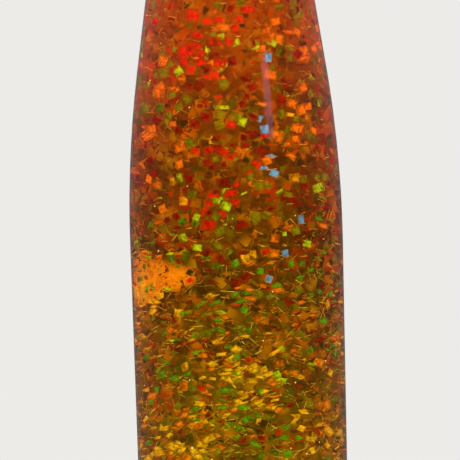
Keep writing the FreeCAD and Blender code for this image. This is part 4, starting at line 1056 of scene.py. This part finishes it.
for index, (kind, places) in enumerate(BY_HAND.items()):
    dice = np.random.default_rng(HAND_SEED + index)
    softness = KINDS[kind][4]
    clouds[kind].extend(by_hand(*place, softness, dice) for place in places)
    for across, height, spread, rise, count in SWARMS.get(kind, []):
        for _ in range(count):
            aside = min(max(across + dice.normal(0.0, spread), -SWARM_EDGE), SWARM_EDGE)
            up = height + dice.normal(0.0, rise)
            wide = dice.uniform(*SWARM_WIDTH) + WIDER_BY * dice.beta(*WIDER_CHANCE)
            tall = wide * dice.uniform(*(FACE_ON if up > FACE_ON_ABOVE else LYING_FLAT))
            clouds[kind].append(by_hand(aside, up, wide, tall, softness, dice))
for kind, places in clouds.items():
    strength = BLUE_LIT if kind == "blue" else LIT
    flake_cloud(f"glitter_{kind}", places, film(f"film_{kind}", *KINDS[kind][:2], strength))

# %% [markdown]
# A flake seen by its edge is only a bright line, and the cutter also leaves thin slivers of film. They lie at all
# angles, most of them near level, and give off painted light like the other flakes. A few specks among them are painted
# glints, bright enough to look white.

# %% Slivers and specks
SLIVER_TRIES, SLIVER_SEED = 5200, 81
SPECKS, SPECK_SEED = 70, 82
LEFT_OUT_ABOVE = 0.75  # the share of the slivers that is left out at the top
SLIVER_WIDTH, WIDTH_SPREAD = 0.00022, (0.6, 1.4)
SLIVER_SHORTEST, SLIVER_MORE, SLIVER_CHANCE = 0.0014, 0.0052, (1.2, 2.2)
SLIVER_HALF, SLIVER_TILT = 0.55, 0.6
SLIVER_TONES, SLIVER_SOFTNESS = (0.8, 1.4), 0.3
SPECK_SIZE, SPECK_ROOM, SPECK_LIT = (0.0003, 0.0006), 0.001, LIT * 1.4
FRONT_LAYER = 0.003


def slivers(count, dice):
    places = []
    for _ in range(count):
        height = dice.uniform(lowest, highest)
        if dice.uniform() < LEFT_OUT_ABOVE * above_stream(height):
            continue
        way = dice.uniform(0.0, 2 * math.pi)
        length = SLIVER_SHORTEST + SLIVER_MORE * dice.beta(*SLIVER_CHANCE)
        tilt = dice.normal(math.pi / 2, SLIVER_TILT)
        reach = room_at(height, length * SLIVER_HALF) - dice.uniform(0.0, FRONT_LAYER)
        width = SLIVER_WIDTH * dice.uniform(*WIDTH_SPREAD)
        places.append((around(reach, way, height), around(1.0, way, 0.0), tilt, width, length,
                       dice.beta(*SLIVER_TONES), SLIVER_SOFTNESS))
    return places


def specks(count, dice):
    places = []
    for _ in range(count):
        height, way = dice.uniform(lowest, highest), dice.uniform(0.0, 2 * math.pi)
        reach = room_at(height, SPECK_ROOM) - dice.uniform(0.0, FRONT_LAYER)
        size = dice.uniform(*SPECK_SIZE)
        normal = upright(dice, way)
        places.append((around(reach, way, height), normal, dice.uniform(0.0, math.pi), size, size, 1.0, 0.0))
    return places


thin = slivers(SLIVER_TRIES, np.random.default_rng(SLIVER_SEED))
flake_cloud("glitter_slivers", thin, film("film_sliver", (96, 54, 0), (255, 190, 50)), plate_points, plate_faces)
tiny = specks(SPECKS, np.random.default_rng(SPECK_SEED))
# painted glints: the specks' film gives off near-white light
speck_film = film("film_speck", (250, 210, 110), (255, 240, 190), SPECK_LIT)
flake_cloud("glitter_specks", tiny, speck_film, plate_points, plate_faces)
